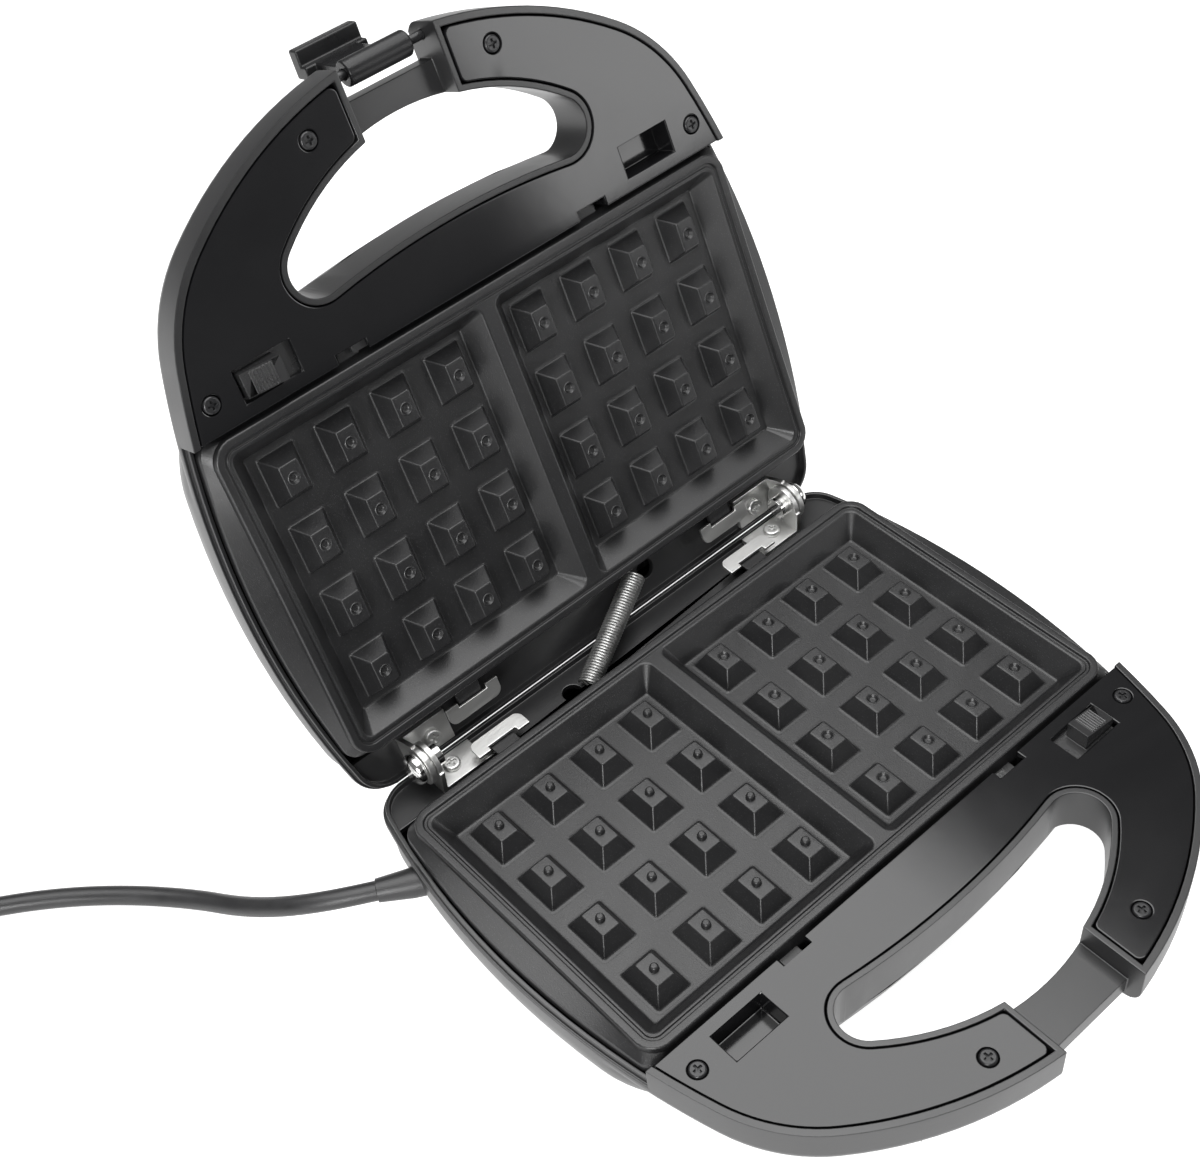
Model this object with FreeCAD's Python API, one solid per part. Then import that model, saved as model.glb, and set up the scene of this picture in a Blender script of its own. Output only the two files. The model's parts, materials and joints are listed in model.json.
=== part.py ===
import FreeCAD, Part
import math
import os

from FreeCAD import Vector

# All sizes are millimetres. A half is drawn as it lies closed: x to the right, y towards the hinge,
# z up from the parting plane. The lid is the same half turned over about y, then swung open.

# Body outline, made of tangent arcs
body_half_width = 119.0
body_front_y = -146.0
body_rear_y = 82.0
side_radius = 300.0
front_radius = 140.0
front_corner_radius = 60.0
rear_corner_radius = 14.0

# Shell
shell_depth = 40.0
shell_wall = 2.6
side_round = 24.5
handle_depth = 18.6
handle_edge_round = 6.6
bowl_front_y = -88.0
bowl_front_radius = 420.0
bowl_corner_radius = 45.0
bowl_rear_radius = 27.0
half_gap = 0.5
rim_drop = 8.0
rim_step_width = 1.2
rim_step_height = 2.6
foot_height = 4.0
foot_radius = 7.5
foot_stem_radius = 2.5
foot_round = 1.0
foot_boss_radius = 9.0
foot_side_inset = 43.0
foot_front_y = -46.0
foot_rear_y = 63.0

# Hinge
hinge_y = 75.5
open_angle = 112.5
wedge_margin_deg = 1.0
pin_radius = 2.5
pin_running_gap = 0.05
ear_radius = 7.5
sheet = 2.0
ear_inset = 33.0
washer_space = 0.8
washer_thickness = 0.6
washer_radius = 6.2
pin_dome_radius = 6.0
pin_dome_height = 3.4
pin_dome_round = 2.9
nut_height = 3.5
nut_radius = 4.2
bracket_length = 20.0
bracket_depth = 12.0
bracket_screw_inset = 7.0
bracket_screw_setback = 1.5
hook_size = 4.0

# Rear deck that carries the brackets and clips
deck_top = -10.5
deck_thickness = 2.5
deck_front_y = 66.0

# Handle
hole_front_y = -123.0
hole_rear_y = -88.5
hole_front_radius = 88.0
hole_rear_radius = 314.0
hole_end_radius = 10.0
hole_wall = 2.2
recess_half_width = 18.5
recess_wall = 2.2
catch_front_y = -139.4
catch_top = -9.0
catch_bottom = -16.5
lid_web_front_y = -132.5
lid_web_bottom = -16.5

# Handle cover
apron_inset = 11.5
cover_edge_y = -63.0
cover_thickness = 2.2
cover_gap = 0.45
cover_corner = 2.5
cover_apron_depth = 9.5
window_inset = 39.4
window_y = -73.4
window_length = 21.4
window_width = 11.4
pocket_depth = 9.0
pocket_wall = 1.4
notch_from_window = 28.6
notch_width = 12.0
notch_depth = 3.4
screw_side_inset = 18.3
screw_side_y = -73.0
screw_front_x = 36.3
screw_front_y = -129.8
screw_head_radius = 2.9
screw_head_height = 1.7
screw_shank_radius = 1.5
screw_length = 12.0
screw_gap = 0.35
screw_sink = 1.3
screw_head_round = 0.45
screw_slot_reach = 0.55
screw_slot_half = 0.14
screw_slot_depth = 0.6
boss_radius = 4.2

# Release slider
slider_length = 14.0
slider_width = 8.4
slider_rise = 4.2
slider_low_rise = 1.8
slider_travel = 5.0
slider_end_gap = 0.8
slider_side_gap = 0.35
slider_plate = 1.8
slider_plate_half = 7.2
slider_rib_count = 7
slider_rib_height = 0.5
slider_rib_half = 0.32
slider_rib_pitch = 1.15
slider_rib_share = 0.86
tongue_overlap = 3.0
tongue_width = 6.0
slider_spring_radius = 2.0
slider_spring_wire = 0.6
slider_spring_turns = 7
slider_spring_length = 14.0
spring_stop_wall = 2.0
spring_pad_bottom = -10.0

# Waffle plate
pitch_y = 25.4
inner_column_x = 18.6
outer_column_inset = 32.9
columns = 4
rows = 4
stud_base_x = 13.6
stud_base_y = 17.7
stud_top_x = 7.1
stud_top_y = 10.7
stud_height = 7.0
stud_round = 0.5
nub_radius = 1.7
nub_height = 1.5
dimple_radius = 2.1
dimple_depth = 0.9
stud_top_z = -2.25
plate_floor = 2.5
plate_face = -0.4
bead_inset = 10.7
bead_half_y = 61.0
bead_corner = 8.0
bead_width = 3.0
bead_round = 0.8
bead_height = 2.8
groove_width = 1.3
groove_depth = 1.1
lip_drop = 0.5
tray_margin = 1.1
tray_slope = 6.0
tray_corner = 3.5
divider_top = 6.0
skirt_bulge = 5.2
skirt_inset = 8.4
skirt_half_y = 62.2
skirt_corner = 6.0
skirt_top = -6.0
skirt_bottom = -9.5
rear_tab_width = 10.0
rear_tab_length = 7.4
rear_tab_thickness = 1.6
front_tab_length = 5.0
front_tab_width = 8.0

# Plate clips
clip_from_ear = 25.0
clip_length = 22.8
clip_inner_y = 65.6
clip_outer_y = 72.6
clip_band = 5.2
clip_foot = 3.8
clip_top = -3.0
clip_sheet = 1.2
clip_tab_gap = 0.5
clip_corner = 3.0

# Heating gear
pan_inset = 19.0
pan_half_y = 54.0
pan_sheet = 0.8
pan_depth = 15.0
pan_lip = 4.0
pan_corner = 10.0
post_radius = 4.5
post_inset = 20.0
post_y = 36.0
pan_screw_head_radius = 3.2
pan_screw_head_height = 1.8
pan_screw_bite = 6.0
element_radius = 3.2
element_inset = 22.0
element_half_y = 34.0
element_gap = 1.4
element_lead = 9.0

thermostat_radius = 7.5
thermostat_height = 5.0
fuse_radius = 2.4
fuse_length = 26.0
terminal_inset = 42.0
terminal_y = 30.0
terminal_pitch = 8.0
terminal_count = 3

# Latch
latch_y = -140.5
latch_z = 10.0
latch_swing = 176.0
latch_pin_radius = 1.6
latch_hub_radius = 4.4
latch_half_width = 12.4
latch_stem_half_width = 8.5
latch_front_offset = -4.0
latch_back_offset = 0.5
latch_lip_reach = 6.0
latch_lip_thickness = 5.0
latch_catch_gap = 0.5
latch_head_rise = 3.0

# Indicators in the lid top
lens_radius = 3.5
lens_x = 12.0
lens_y = -28.0
lens_proud = 0.6
lens_flange = 1.2
lamp_radius = 2.8
lamp_length = 6.0

# Steel sleeve round the wires between the halves
sleeve_base_x = -19.5
sleeve_lid_x = 18.5
sleeve_y = 67.0
sleeve_hole_y = 69.8
sleeve_radius = 3.7
sleeve_wire = 1.1
sleeve_pitch = 1.7

# Mains lead
cord_diameter = 7.0
gland_y = 50.0
gland_z = -18.0
gland_turn_deg = 30.0
gland_collar_radius = 5.6
gland_tip_radius = 4.4
gland_outside = 14.0
gland_inside = 9.0
gland_straight = 2.0
gland_flange = 2.5
gland_flange_radius = 7.0
cord_first_run = 8.0
cord_straight = 30.0
cord_arc_share = 0.45
clamp_length = 5.0
clamp_radius = 6.0
cord_bore_gap = 0.05
coil_radius = 41.0
coil_step = 7.6
coil_turns_in = 1.0
coil_climb_turns = 0.5
coil_turns_out = 0.75
tail_first_run = 12.0
tail_run = 15.0
tail_drift = 1.5
tie_thickness = 0.8
tie_width = 5.0
tie_gap = 0.2
tie_turn = 0.75
plug_length = 34.0
plug_width = 23.0
plug_height = 17.0
plug_neck = 12.0
plug_neck_radius = 4.7
plug_neck_end_radius = 6.1
plug_corner = 5.0
plug_neck_share = 0.62
plug_shoulder_at = 0.35
plug_end_share = 0.96
blade_length = 17.0
blade_width = 6.3
blade_thickness = 1.5
blade_spacing = 12.7

# Bends of the lead on the table: place from above and lift off the table
cord_bends = (
    (-159.5, 91.0, 9.5),
    (-170.0, 114.5, 1.5),
    (-189.0, 137.0, 0.0),
    (-211.0, 155.5, 0.0),
    (-236.0, 171.0, 0.0),
    (-262.0, 186.0, 1.1),
)

# Working values
margin = 1.0
near = 0.01
steep = 0.9
turn_step = 1e-4
arcs_per_turn = 4
gap_samples = 48

# Places that follow from the sizes above
stand_height = shell_depth + foot_height
face_z = -half_gap
cover_bottom = face_z - cover_thickness
screw_seat = face_z - screw_sink
floor_top = stud_top_z - stud_height
floor_bottom = floor_top - plate_floor
pan_top = floor_bottom
pan_floor = pan_top - pan_depth
shell_floor = shell_wall - shell_depth
axis_point = Vector(0, hinge_y, 0)
cord_radius = cord_diameter / 2
table_z = -stand_height + cord_radius
far = 2 * (body_half_width - body_front_y)
foot_x = body_half_width - foot_side_inset
ear_x = body_half_width - ear_inset
base_ear_x = ear_x
lid_ear_x = ear_x + sheet + washer_space
clip_x = ear_x - clip_from_ear
apron_half_width = body_half_width - apron_inset
screw_side_x = body_half_width - screw_side_inset
window_x = body_half_width - window_inset
notch_x = window_x - notch_from_window
bead_half_x = body_half_width - bead_inset
skirt_side_x = body_half_width - skirt_inset
pitch_x = (body_half_width - outer_column_inset - inner_column_x) / (columns - 1)
pan_half_x = body_half_width - pan_inset
post_x = pan_half_x - post_inset
element_half_x = pan_half_x - element_inset
terminal_x = terminal_inset - pan_half_x
slider_outer_x = window_x + window_length / 2 - slider_end_gap
slider_top = cover_bottom - slider_side_gap
slider_bottom = slider_top - slider_plate
tongue_end_x = notch_x - front_tab_width / 2 + tongue_overlap
tongue_start_x = tongue_end_x - tongue_width
front_tab_top = slider_bottom - clip_tab_gap
coil_turns = coil_turns_in + coil_climb_turns + coil_turns_out
ALONG_X = Vector(1, 0, 0)
ALONG_Y = Vector(0, 1, 0)
UP = Vector(0, 0, 1)


def box(x0, x1, y0, y1, z0, z1):
    """Block between two corners."""
    return Part.makeBox(x1 - x0, y1 - y0, z1 - z0, Vector(x0, y0, z0))


def bar(x, half, y0, y1, z0, z1):
    """Block that reaches half to either side of x."""
    return box(x - half, x + half, y0, y1, z0, z1)


def drum(centre, radius, length, axis=UP):
    """Cylinder that starts at centre and runs along axis."""
    return Part.makeCylinder(radius, length, centre, axis)


def post(point, radius, z0, z1):
    """Upright cylinder at a point's place, from z0 to z1."""
    return Part.makeCylinder(radius, z1 - z0, Vector(point.x, point.y, z0))


def unit(vector):
    """The vector at length one."""
    return Vector(vector).normalize()


def arc_edge(centre, radius, start, end):
    """Arc of under half a circle about centre from start to end."""
    middle = centre + unit((start - centre) + (end - centre)) * radius
    return Part.Arc(start, middle, end).toShape()


def line_edge(start, end):
    """Straight edge."""
    return Part.LineSegment(start, end).toShape()


def mirrored(point):
    """The same point on the other side of the middle."""
    return Vector(-point.x, point.y, point.z)


def meeting_centre(centre_a, reach_a, centre_b, reach_b):
    """Point to the front and right at the two given distances from two centres."""
    gap = centre_b - centre_a
    length = gap.Length
    along = (reach_a ** 2 - reach_b ** 2 + length ** 2) / (2 * length)
    across = math.sqrt(reach_a ** 2 - along ** 2)
    direction = unit(gap)
    normal = Vector(-direction.y, direction.x, 0)
    middle = centre_a + direction * along
    first = middle + normal * across
    second = middle - normal * across
    return first if first.x - first.y > second.x - second.y else second


def outline_wire(half_width, front_y, rear_y, front_r, corner_r, rear_r, side_r, z):
    """Outline of tangent arcs: straight rear, bulging sides, round front corners and a bowed front."""
    side_centre = Vector(half_width - side_r, 0, z)
    front_centre = Vector(0, front_y + front_r, z)
    corner_centre = meeting_centre(side_centre, side_r - corner_r, front_centre, front_r - corner_r)
    rear_centre_y = rear_y - rear_r
    rear_x = side_centre.x + math.sqrt((side_r - rear_r) ** 2 - rear_centre_y ** 2)
    rear_centre = Vector(rear_x, rear_centre_y, z)
    front_point = front_centre + unit(corner_centre - front_centre) * front_r
    shoulder = side_centre + unit(corner_centre - side_centre) * side_r
    hip = side_centre + unit(rear_centre - side_centre) * side_r
    heel = Vector(rear_x, rear_y, z)
    edges = [
        line_edge(mirrored(heel), heel),
        arc_edge(rear_centre, rear_r, heel, hip),
        arc_edge(side_centre, side_r, hip, shoulder),
        arc_edge(corner_centre, corner_r, shoulder, front_point),
        arc_edge(front_centre, front_r, front_point, mirrored(front_point)),
        arc_edge(mirrored(corner_centre), corner_r, mirrored(front_point), mirrored(shoulder)),
        arc_edge(mirrored(side_centre), side_r, mirrored(shoulder), mirrored(hip)),
        arc_edge(mirrored(rear_centre), rear_r, mirrored(hip), mirrored(heel)),
    ]
    return Part.Wire(edges)


def body_wire(inset, z=0.0):
    """Outline of the body, drawn in by inset."""
    return outline_wire(body_half_width - inset, body_front_y + inset, body_rear_y - inset,
                        front_radius - inset, front_corner_radius - inset, rear_corner_radius - inset,
                        side_radius - inset, z)


def hole_wire(grow, z=0.0):
    """Outline of the finger hole in the handle, grown by grow."""
    front_centre = Vector(0, hole_front_y + hole_front_radius, z)
    rear_centre = Vector(0, hole_rear_y + hole_rear_radius, z)
    front_reach = hole_front_radius - hole_end_radius
    rear_reach = hole_rear_radius + hole_end_radius
    end_centre = meeting_centre(front_centre, front_reach, rear_centre, rear_reach)
    front_point = front_centre + unit(end_centre - front_centre) * (hole_front_radius + grow)
    rear_point = rear_centre + unit(end_centre - rear_centre) * (hole_rear_radius - grow)
    end_point = Vector(end_centre.x + hole_end_radius + grow, end_centre.y, z)
    edges = [
        arc_edge(front_centre, hole_front_radius + grow, mirrored(front_point), front_point),
        Part.Arc(front_point, end_point, rear_point).toShape(),
        arc_edge(rear_centre, hole_rear_radius - grow, rear_point, mirrored(rear_point)),
        Part.Arc(mirrored(rear_point), mirrored(end_point), mirrored(front_point)).toShape(),
    ]
    return Part.Wire(edges)


def prism(wire, z0, z1):
    """Solid over a flat wire drawn at z = 0, from z0 to z1."""
    face = Part.Face(wire)
    face.translate(Vector(0, 0, z0))
    return face.extrude(Vector(0, 0, z1 - z0))


def side_draw(depth):
    """How far the round side of the bowl has drawn in at a depth."""
    run = max(depth - (shell_depth - side_round), 0.0)
    return side_round - math.sqrt(side_round ** 2 - run ** 2)


def bowl_wire(inset):
    """Outline of the bowl behind the handle, drawn in by inset."""
    return outline_wire(body_half_width - inset, bowl_front_y + inset, body_rear_y - inset,
                        bowl_front_radius - inset, bowl_corner_radius - inset, bowl_rear_radius - inset,
                        side_radius - inset, 0.0)


def round_bottom(wire, depth, radius):
    """Solid over a flat wire, down to a depth, with its lower edge rounded."""
    solid = prism(wire, -depth, 0)
    lower = [edge for edge in solid.Edges if edge.BoundBox.ZMax < near - depth]
    return solid.makeFillet(radius, lower)


def tub(wall):
    """Solid of the body's outer form, drawn in all round by wall: a thin handle slab and a deeper bowl."""
    slab = round_bottom(body_wire(wall), handle_depth - wall, handle_edge_round - wall)
    bowl = round_bottom(bowl_wire(wall), shell_depth - wall, side_round - wall)
    return slab.fuse(bowl).removeSplitter()


def rounded_rect(x0, x1, y0, y1, radius, z):
    """Wire of a rectangle with round corners."""
    corners = [(x1, y0, -1, 1), (x1, y1, -1, -1), (x0, y1, 1, -1), (x0, y0, 1, 1)]
    edges = []
    ends = []
    for x, y, to_x, to_y in corners:
        centre = Vector(x + to_x * radius, y + to_y * radius, z)
        on_x = Vector(x, centre.y, z)
        on_y = Vector(centre.x, y, z)
        first, second = (on_y, on_x) if to_x * to_y < 0 else (on_x, on_y)
        ends.append((first, second, centre))
    for index, (first, second, centre) in enumerate(ends):
        edges.append(arc_edge(centre, radius, first, second))
        edges.append(line_edge(second, ends[(index + 1) % len(ends)][0]))
    return Part.Wire(edges)


def loft(*wires):
    """Solid with straight sides through the wires."""
    return Part.makeLoft(list(wires), True, True)


def hinge_wedge():
    """Space behind the hinge that the other half sweeps through."""
    half = math.radians(open_angle / 2 + wedge_margin_deg)
    reach = far
    points = [
        axis_point,
        axis_point + Vector(0, reach, 0) * math.cos(half) - Vector(0, 0, reach) * math.sin(half),
        axis_point + Vector(0, reach, 0),
        axis_point + Vector(0, reach, reach),
        axis_point + Vector(0, 0, reach),
    ]
    edges = []
    for index, point in enumerate(points):
        edges.append(line_edge(point, points[(index + 1) % len(points)]))
    face = Part.Face(Part.Wire(edges))
    face.translate(Vector(-far, 0, 0))
    return face.extrude(Vector(2 * far, 0, 0))


def cover_screw_points():
    """Places of the four cover screws of a half."""
    points = []
    for side in (-1, 1):
        points.append(Vector(side * screw_side_x, screw_side_y, 0))
        points.append(Vector(side * screw_front_x, screw_front_y, 0))
    return points


def post_points():
    """Places of the four posts under the reflector pan."""
    return [Vector(sx * post_x, sy * post_y, 0) for sx in (-1, 1) for sy in (-1, 1)]


def bracket_screw_point(side):
    """Place of a hinge bracket's screw on the deck."""
    return Vector(side * (ear_x - bracket_screw_inset), hinge_y - bracket_screw_setback, deck_top)


def moulded_half():
    """Shell parts that both halves share: tub, hole wall, bosses, posts and deck."""
    outer = tub(0)
    shell = outer.cut(tub(shell_wall))
    inner_parts = [prism(hole_wire(hole_wall), -shell_depth, 0)]
    half = recess_wall / 2
    for side in (-1, 1):
        wall_x = side * (recess_half_width + half)
        inner_parts.append(bar(wall_x, half, body_front_y, hole_front_y + hole_wall, -shell_depth, 0))
    for point in cover_screw_points():
        inner_parts.append(post(point, boss_radius, -shell_depth, cover_bottom))
    for point in post_points():
        inner_parts.append(post(point, post_radius, -shell_depth, pan_floor - pan_sheet))
    inner_parts.append(box(-far, far, deck_front_y, body_rear_y, deck_top - deck_thickness, deck_top))
    shell = shell.fuse([part.common(outer) for part in inner_parts]).removeSplitter()
    shell = shell.cut(prism(hole_wire(0), -shell_depth - margin, margin))
    shell = shell.cut(bar(0, recess_half_width, body_front_y - margin, hole_front_y + hole_wall, -far, far))
    for point in cover_screw_points():
        shell = shell.cut(post(point, screw_shank_radius, face_z - screw_length, 0))
    for point in post_points():
        seat = pan_floor - pan_sheet
        shell = shell.cut(post(point, screw_shank_radius, seat - pan_screw_bite, seat))
    for side in (-1, 1):
        point = bracket_screw_point(side)
        shell = shell.cut(post(point, screw_shank_radius, deck_top - deck_thickness, deck_top))
    return shell


def trim_rims(shell):
    """Cut the rims: the face at the handle, the drop beside the plate and the space behind the hinge."""
    shell = shell.cut(box(-far, far, -far, far, face_z, far))
    shell = shell.cut(box(-far, far, cover_edge_y + cover_gap, far, -rim_drop, far))
    step = prism(body_wire(-margin), -rim_drop - rim_step_height, 0)
    step = step.cut(prism(body_wire(rim_step_width), -far, far))
    shell = shell.cut(step.common(box(-far, far, cover_edge_y + cover_gap, far, -far, far)))
    return shell.cut(hinge_wedge())


def foot_points():
    """Places of the feet under the base."""
    return [Vector(sx * foot_x, y, -shell_depth) for sx in (-1, 1) for y in (foot_front_y, foot_rear_y)]


def gland_axis():
    """Direction in which the lead leaves the base."""
    turn = math.radians(gland_turn_deg)
    return Vector(-math.cos(turn), math.sin(turn), 0)


def gland_seat():
    """Point on the outside of the left wall where the gland comes out."""
    radius = side_radius - side_draw(-gland_z)
    reach = body_half_width - side_radius + math.sqrt(radius ** 2 - gland_y ** 2)
    return Vector(-reach, gland_y, gland_z)


def base_shell():
    """Lower outer shell with the catch bar, the foot bosses and the gland hole."""
    shell = moulded_half()
    reach = recess_half_width + recess_wall / 2
    catch = bar(0, reach, catch_front_y, hole_rear_y, catch_bottom, catch_top)
    shell = shell.fuse(handle_front_part(catch)).removeSplitter()
    inside = tub(shell_wall)
    for point in foot_points():
        boss = post(point, foot_boss_radius, -shell_depth, side_round - shell_depth).cut(inside)
        shell = shell.fuse(boss).removeSplitter()
        shell = shell.cut(post(point, foot_stem_radius, -shell_depth - margin, shell_floor + margin))
    start = gland_seat() - gland_axis() * gland_inside
    shell = shell.cut(drum(start, gland_collar_radius, gland_inside + gland_outside, gland_axis()))
    shell = shell.cut(sleeve_hole(sleeve_base_x))
    return trim_rims(shell)


def handle_front_part(block):
    """The part of a block across the handle that lies in front of the finger hole."""
    pieces = block.cut(prism(hole_wire(0), -far, far)).Solids
    return min(pieces, key=lambda piece: piece.CenterOfMass.y)


def sleeve_hole(x):
    """Hole in the deck for the wires, at the end of the steel sleeve."""
    point = Vector(x + math.copysign(2 * sleeve_radius, x), sleeve_hole_y, 0)
    return post(point, sleeve_radius, deck_top - deck_thickness - margin, deck_top + margin)


def lid_shell():
    """Upper outer shell with the latch bay and the lens holes, drawn as a lower half."""
    shell = moulded_half()
    reach = recess_half_width + recess_wall / 2
    web = bar(0, reach, lid_web_front_y, hole_rear_y, lid_web_bottom, catch_top)
    shell = shell.fuse(handle_front_part(web)).removeSplitter()
    shell = shell.cut(latch_pin())
    for side in (-1, 1):
        point = Vector(side * lens_x, lens_y, 0)
        shell = shell.cut(post(point, lens_radius, -shell_depth - margin, shell_floor + margin))
    shell = shell.cut(sleeve_hole(-sleeve_lid_x))
    return trim_rims(shell)


def cover_plan(z0, z1):
    """The handle cover's plan between two heights, before its openings."""
    plan = prism(body_wire(shell_wall + cover_gap), z0, z1)
    plan = plan.cut(box(-far, far, cover_edge_y, far, z0 - margin, z1 + margin))
    plan = plan.cut(prism(hole_wire(hole_wall + cover_gap), z0 - margin, z1 + margin))
    reach = recess_half_width + recess_wall + cover_gap
    plan = plan.cut(bar(0, reach, -far, hole_front_y + hole_end_radius, -far, far))
    corners = []
    for edge in plan.Edges:
        place = edge.BoundBox
        if place.ZLength > z1 - z0 - near and abs(abs(place.Center.x) - reach) < near:
            corners.append(edge)
    return plan.makeFillet(cover_corner, corners)


def window_box(side, grow, z0, z1):
    """Block over the window or slider opening, grown by grow."""
    half_x = window_length / 2 + grow
    half_y = window_width / 2 + grow
    return bar(side * window_x, half_x, window_y - half_y, window_y + half_y, z0, z1)


def handle_cover():
    """Inner handle cover: window pocket on the left, slider slot on the right."""
    cover = cover_plan(cover_bottom, face_z)
    apron_front = cover_edge_y - cover_thickness
    apron = bar(0, apron_half_width, apron_front, cover_edge_y, face_z - cover_apron_depth, face_z)
    pocket = window_box(-1, pocket_wall, face_z - pocket_depth - pocket_wall, face_z)
    stop_x = tongue_start_x - slider_spring_length - spring_stop_wall / 2
    stop = bar(stop_x, spring_stop_wall / 2, window_y - slider_spring_radius * 2,
               window_y + slider_spring_radius * 2, spring_pad_bottom, face_z)
    cover = cover.fuse([apron, pocket, stop]).removeSplitter()
    cover = cover.cut(window_box(-1, 0, face_z - pocket_depth, margin))
    cover = cover.cut(window_box(1, 0, -far, margin))
    for side in (-1, 1):
        cover = cover.cut(bar(side * notch_x, notch_width / 2, cover_edge_y - notch_depth, 0, -far, margin))
    swept_x = tongue_start_x - slider_travel - slider_side_gap
    slot_bottom = slider_bottom - slider_side_gap
    cover = cover.cut(box(swept_x, notch_x, apron_front - margin, 0, slot_bottom, cover_bottom))
    for point in cover_screw_points():
        cover = cover.cut(post(point, screw_shank_radius + screw_gap, -far, 0))
        cover = cover.cut(post(point, screw_head_radius + screw_gap, screw_seat, 0))
    return cover


def pan_head_screw(point, seat_z, head_radius, head_height, length):
    """Screw with a rounded head that sits on seat_z and a shank below it."""
    top = seat_z + head_height
    head = post(point, head_radius, seat_z, top)
    middle = seat_z + head_height / 2
    top_edges = [edge for edge in head.Edges if edge.Closed and edge.BoundBox.ZMin > middle]
    head = head.makeFillet(head_height * screw_head_round, top_edges)
    shank = post(point, screw_shank_radius, seat_z - length, seat_z)
    slot = head_radius * screw_slot_reach
    blade = head_radius * screw_slot_half
    bottom = top - head_height * screw_slot_depth
    cross_x = bar(point.x, slot, point.y - blade, point.y + blade, bottom, top)
    cross_y = bar(point.x, blade, point.y - slot, point.y + slot, bottom, top)
    return head.fuse(shank).cut(cross_x).cut(cross_y)


def cover_screws():
    """The four screws that hold the handle cover."""
    length = screw_length + screw_seat - face_z
    pieces = []
    for point in cover_screw_points():
        pieces.append(pan_head_screw(point, screw_seat, screw_head_radius, screw_head_height, length))
    return Part.makeCompound(pieces)


def plate_skirt_wire(inset, z):
    """Outer edge of the plate, straight front and rear, bulging sides."""
    half_y = skirt_half_y - inset
    side_x = skirt_side_x - inset
    radius = skirt_corner
    right = [
        Vector(side_x - radius, -half_y, z),
        Vector(side_x, radius - half_y, z),
        Vector(side_x + skirt_bulge, 0, z),
        Vector(side_x, half_y - radius, z),
        Vector(side_x - radius, half_y, z),
    ]
    left = [mirrored(point) for point in right]
    front_centre = Vector(right[0].x, right[1].y, z)
    rear_centre = Vector(right[4].x, right[3].y, z)
    edges = [
        line_edge(left[0], right[0]),
        arc_edge(front_centre, radius, right[0], right[1]),
        Part.Arc(right[1], right[2], right[3]).toShape(),
        arc_edge(rear_centre, radius, right[3], right[4]),
        line_edge(right[4], left[4]),
        arc_edge(mirrored(rear_centre), radius, left[4], left[3]),
        Part.Arc(left[3], left[2], left[1]).toShape(),
        arc_edge(mirrored(front_centre), radius, left[1], left[0]),
    ]
    return Part.Wire(edges)


def bead_wire(inset, z):
    """Rim of the plate at a given inset from the bead's outer edge."""
    half_x = bead_half_x - inset
    half_y = bead_half_y - inset
    points = [
        (Vector(half_x - bead_corner + inset, -half_y, z), Vector(half_x, bead_corner - inset - half_y, z)),
        (Vector(half_x, half_y - bead_corner + inset, z), Vector(half_x - bead_corner + inset, half_y, z)),
    ]
    radius = bead_corner - inset
    front_centre = Vector(points[0][0].x, points[0][1].y, z)
    rear_centre = Vector(points[1][1].x, points[1][0].y, z)
    edges = [
        line_edge(mirrored(points[0][0]), points[0][0]),
        arc_edge(front_centre, radius, points[0][0], points[0][1]),
        line_edge(points[0][1], points[1][0]),
        arc_edge(rear_centre, radius, points[1][0], points[1][1]),
        line_edge(points[1][1], mirrored(points[1][1])),
        arc_edge(mirrored(rear_centre), radius, mirrored(points[1][1]), mirrored(points[1][0])),
        line_edge(mirrored(points[1][0]), mirrored(points[0][1])),
        arc_edge(mirrored(front_centre), radius, mirrored(points[0][1]), mirrored(points[0][0])),
    ]
    return Part.Wire(edges)


def stud():
    """One tapered stud on the tray floor, centred on the origin, with rounded edges."""
    base = Part.makePolygon(rectangle(stud_base_x, stud_base_y, floor_top))
    top = Part.makePolygon(rectangle(stud_top_x, stud_top_y, stud_top_z))
    solid = loft(base, top)
    edges = [edge for edge in solid.Edges if edge.BoundBox.ZMax > floor_top + near]
    return solid.makeFillet(stud_round, edges)


def rectangle(width, depth, z):
    """Closed list of corner points about the origin."""
    half_x = width / 2
    half_y = depth / 2
    signs = [(-1, -1), (1, -1), (1, 1), (-1, 1), (-1, -1)]
    return [Vector(half_x * to_x, half_y * to_y, z) for to_x, to_y in signs]


def stud_points(side):
    """Centres of the studs of one cell."""
    points = []
    for column in range(columns):
        for row in range(rows):
            x = side * (inner_column_x + column * pitch_x)
            points.append(Vector(x, (row - (rows - 1) / 2) * pitch_y, 0))
    return points


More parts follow.
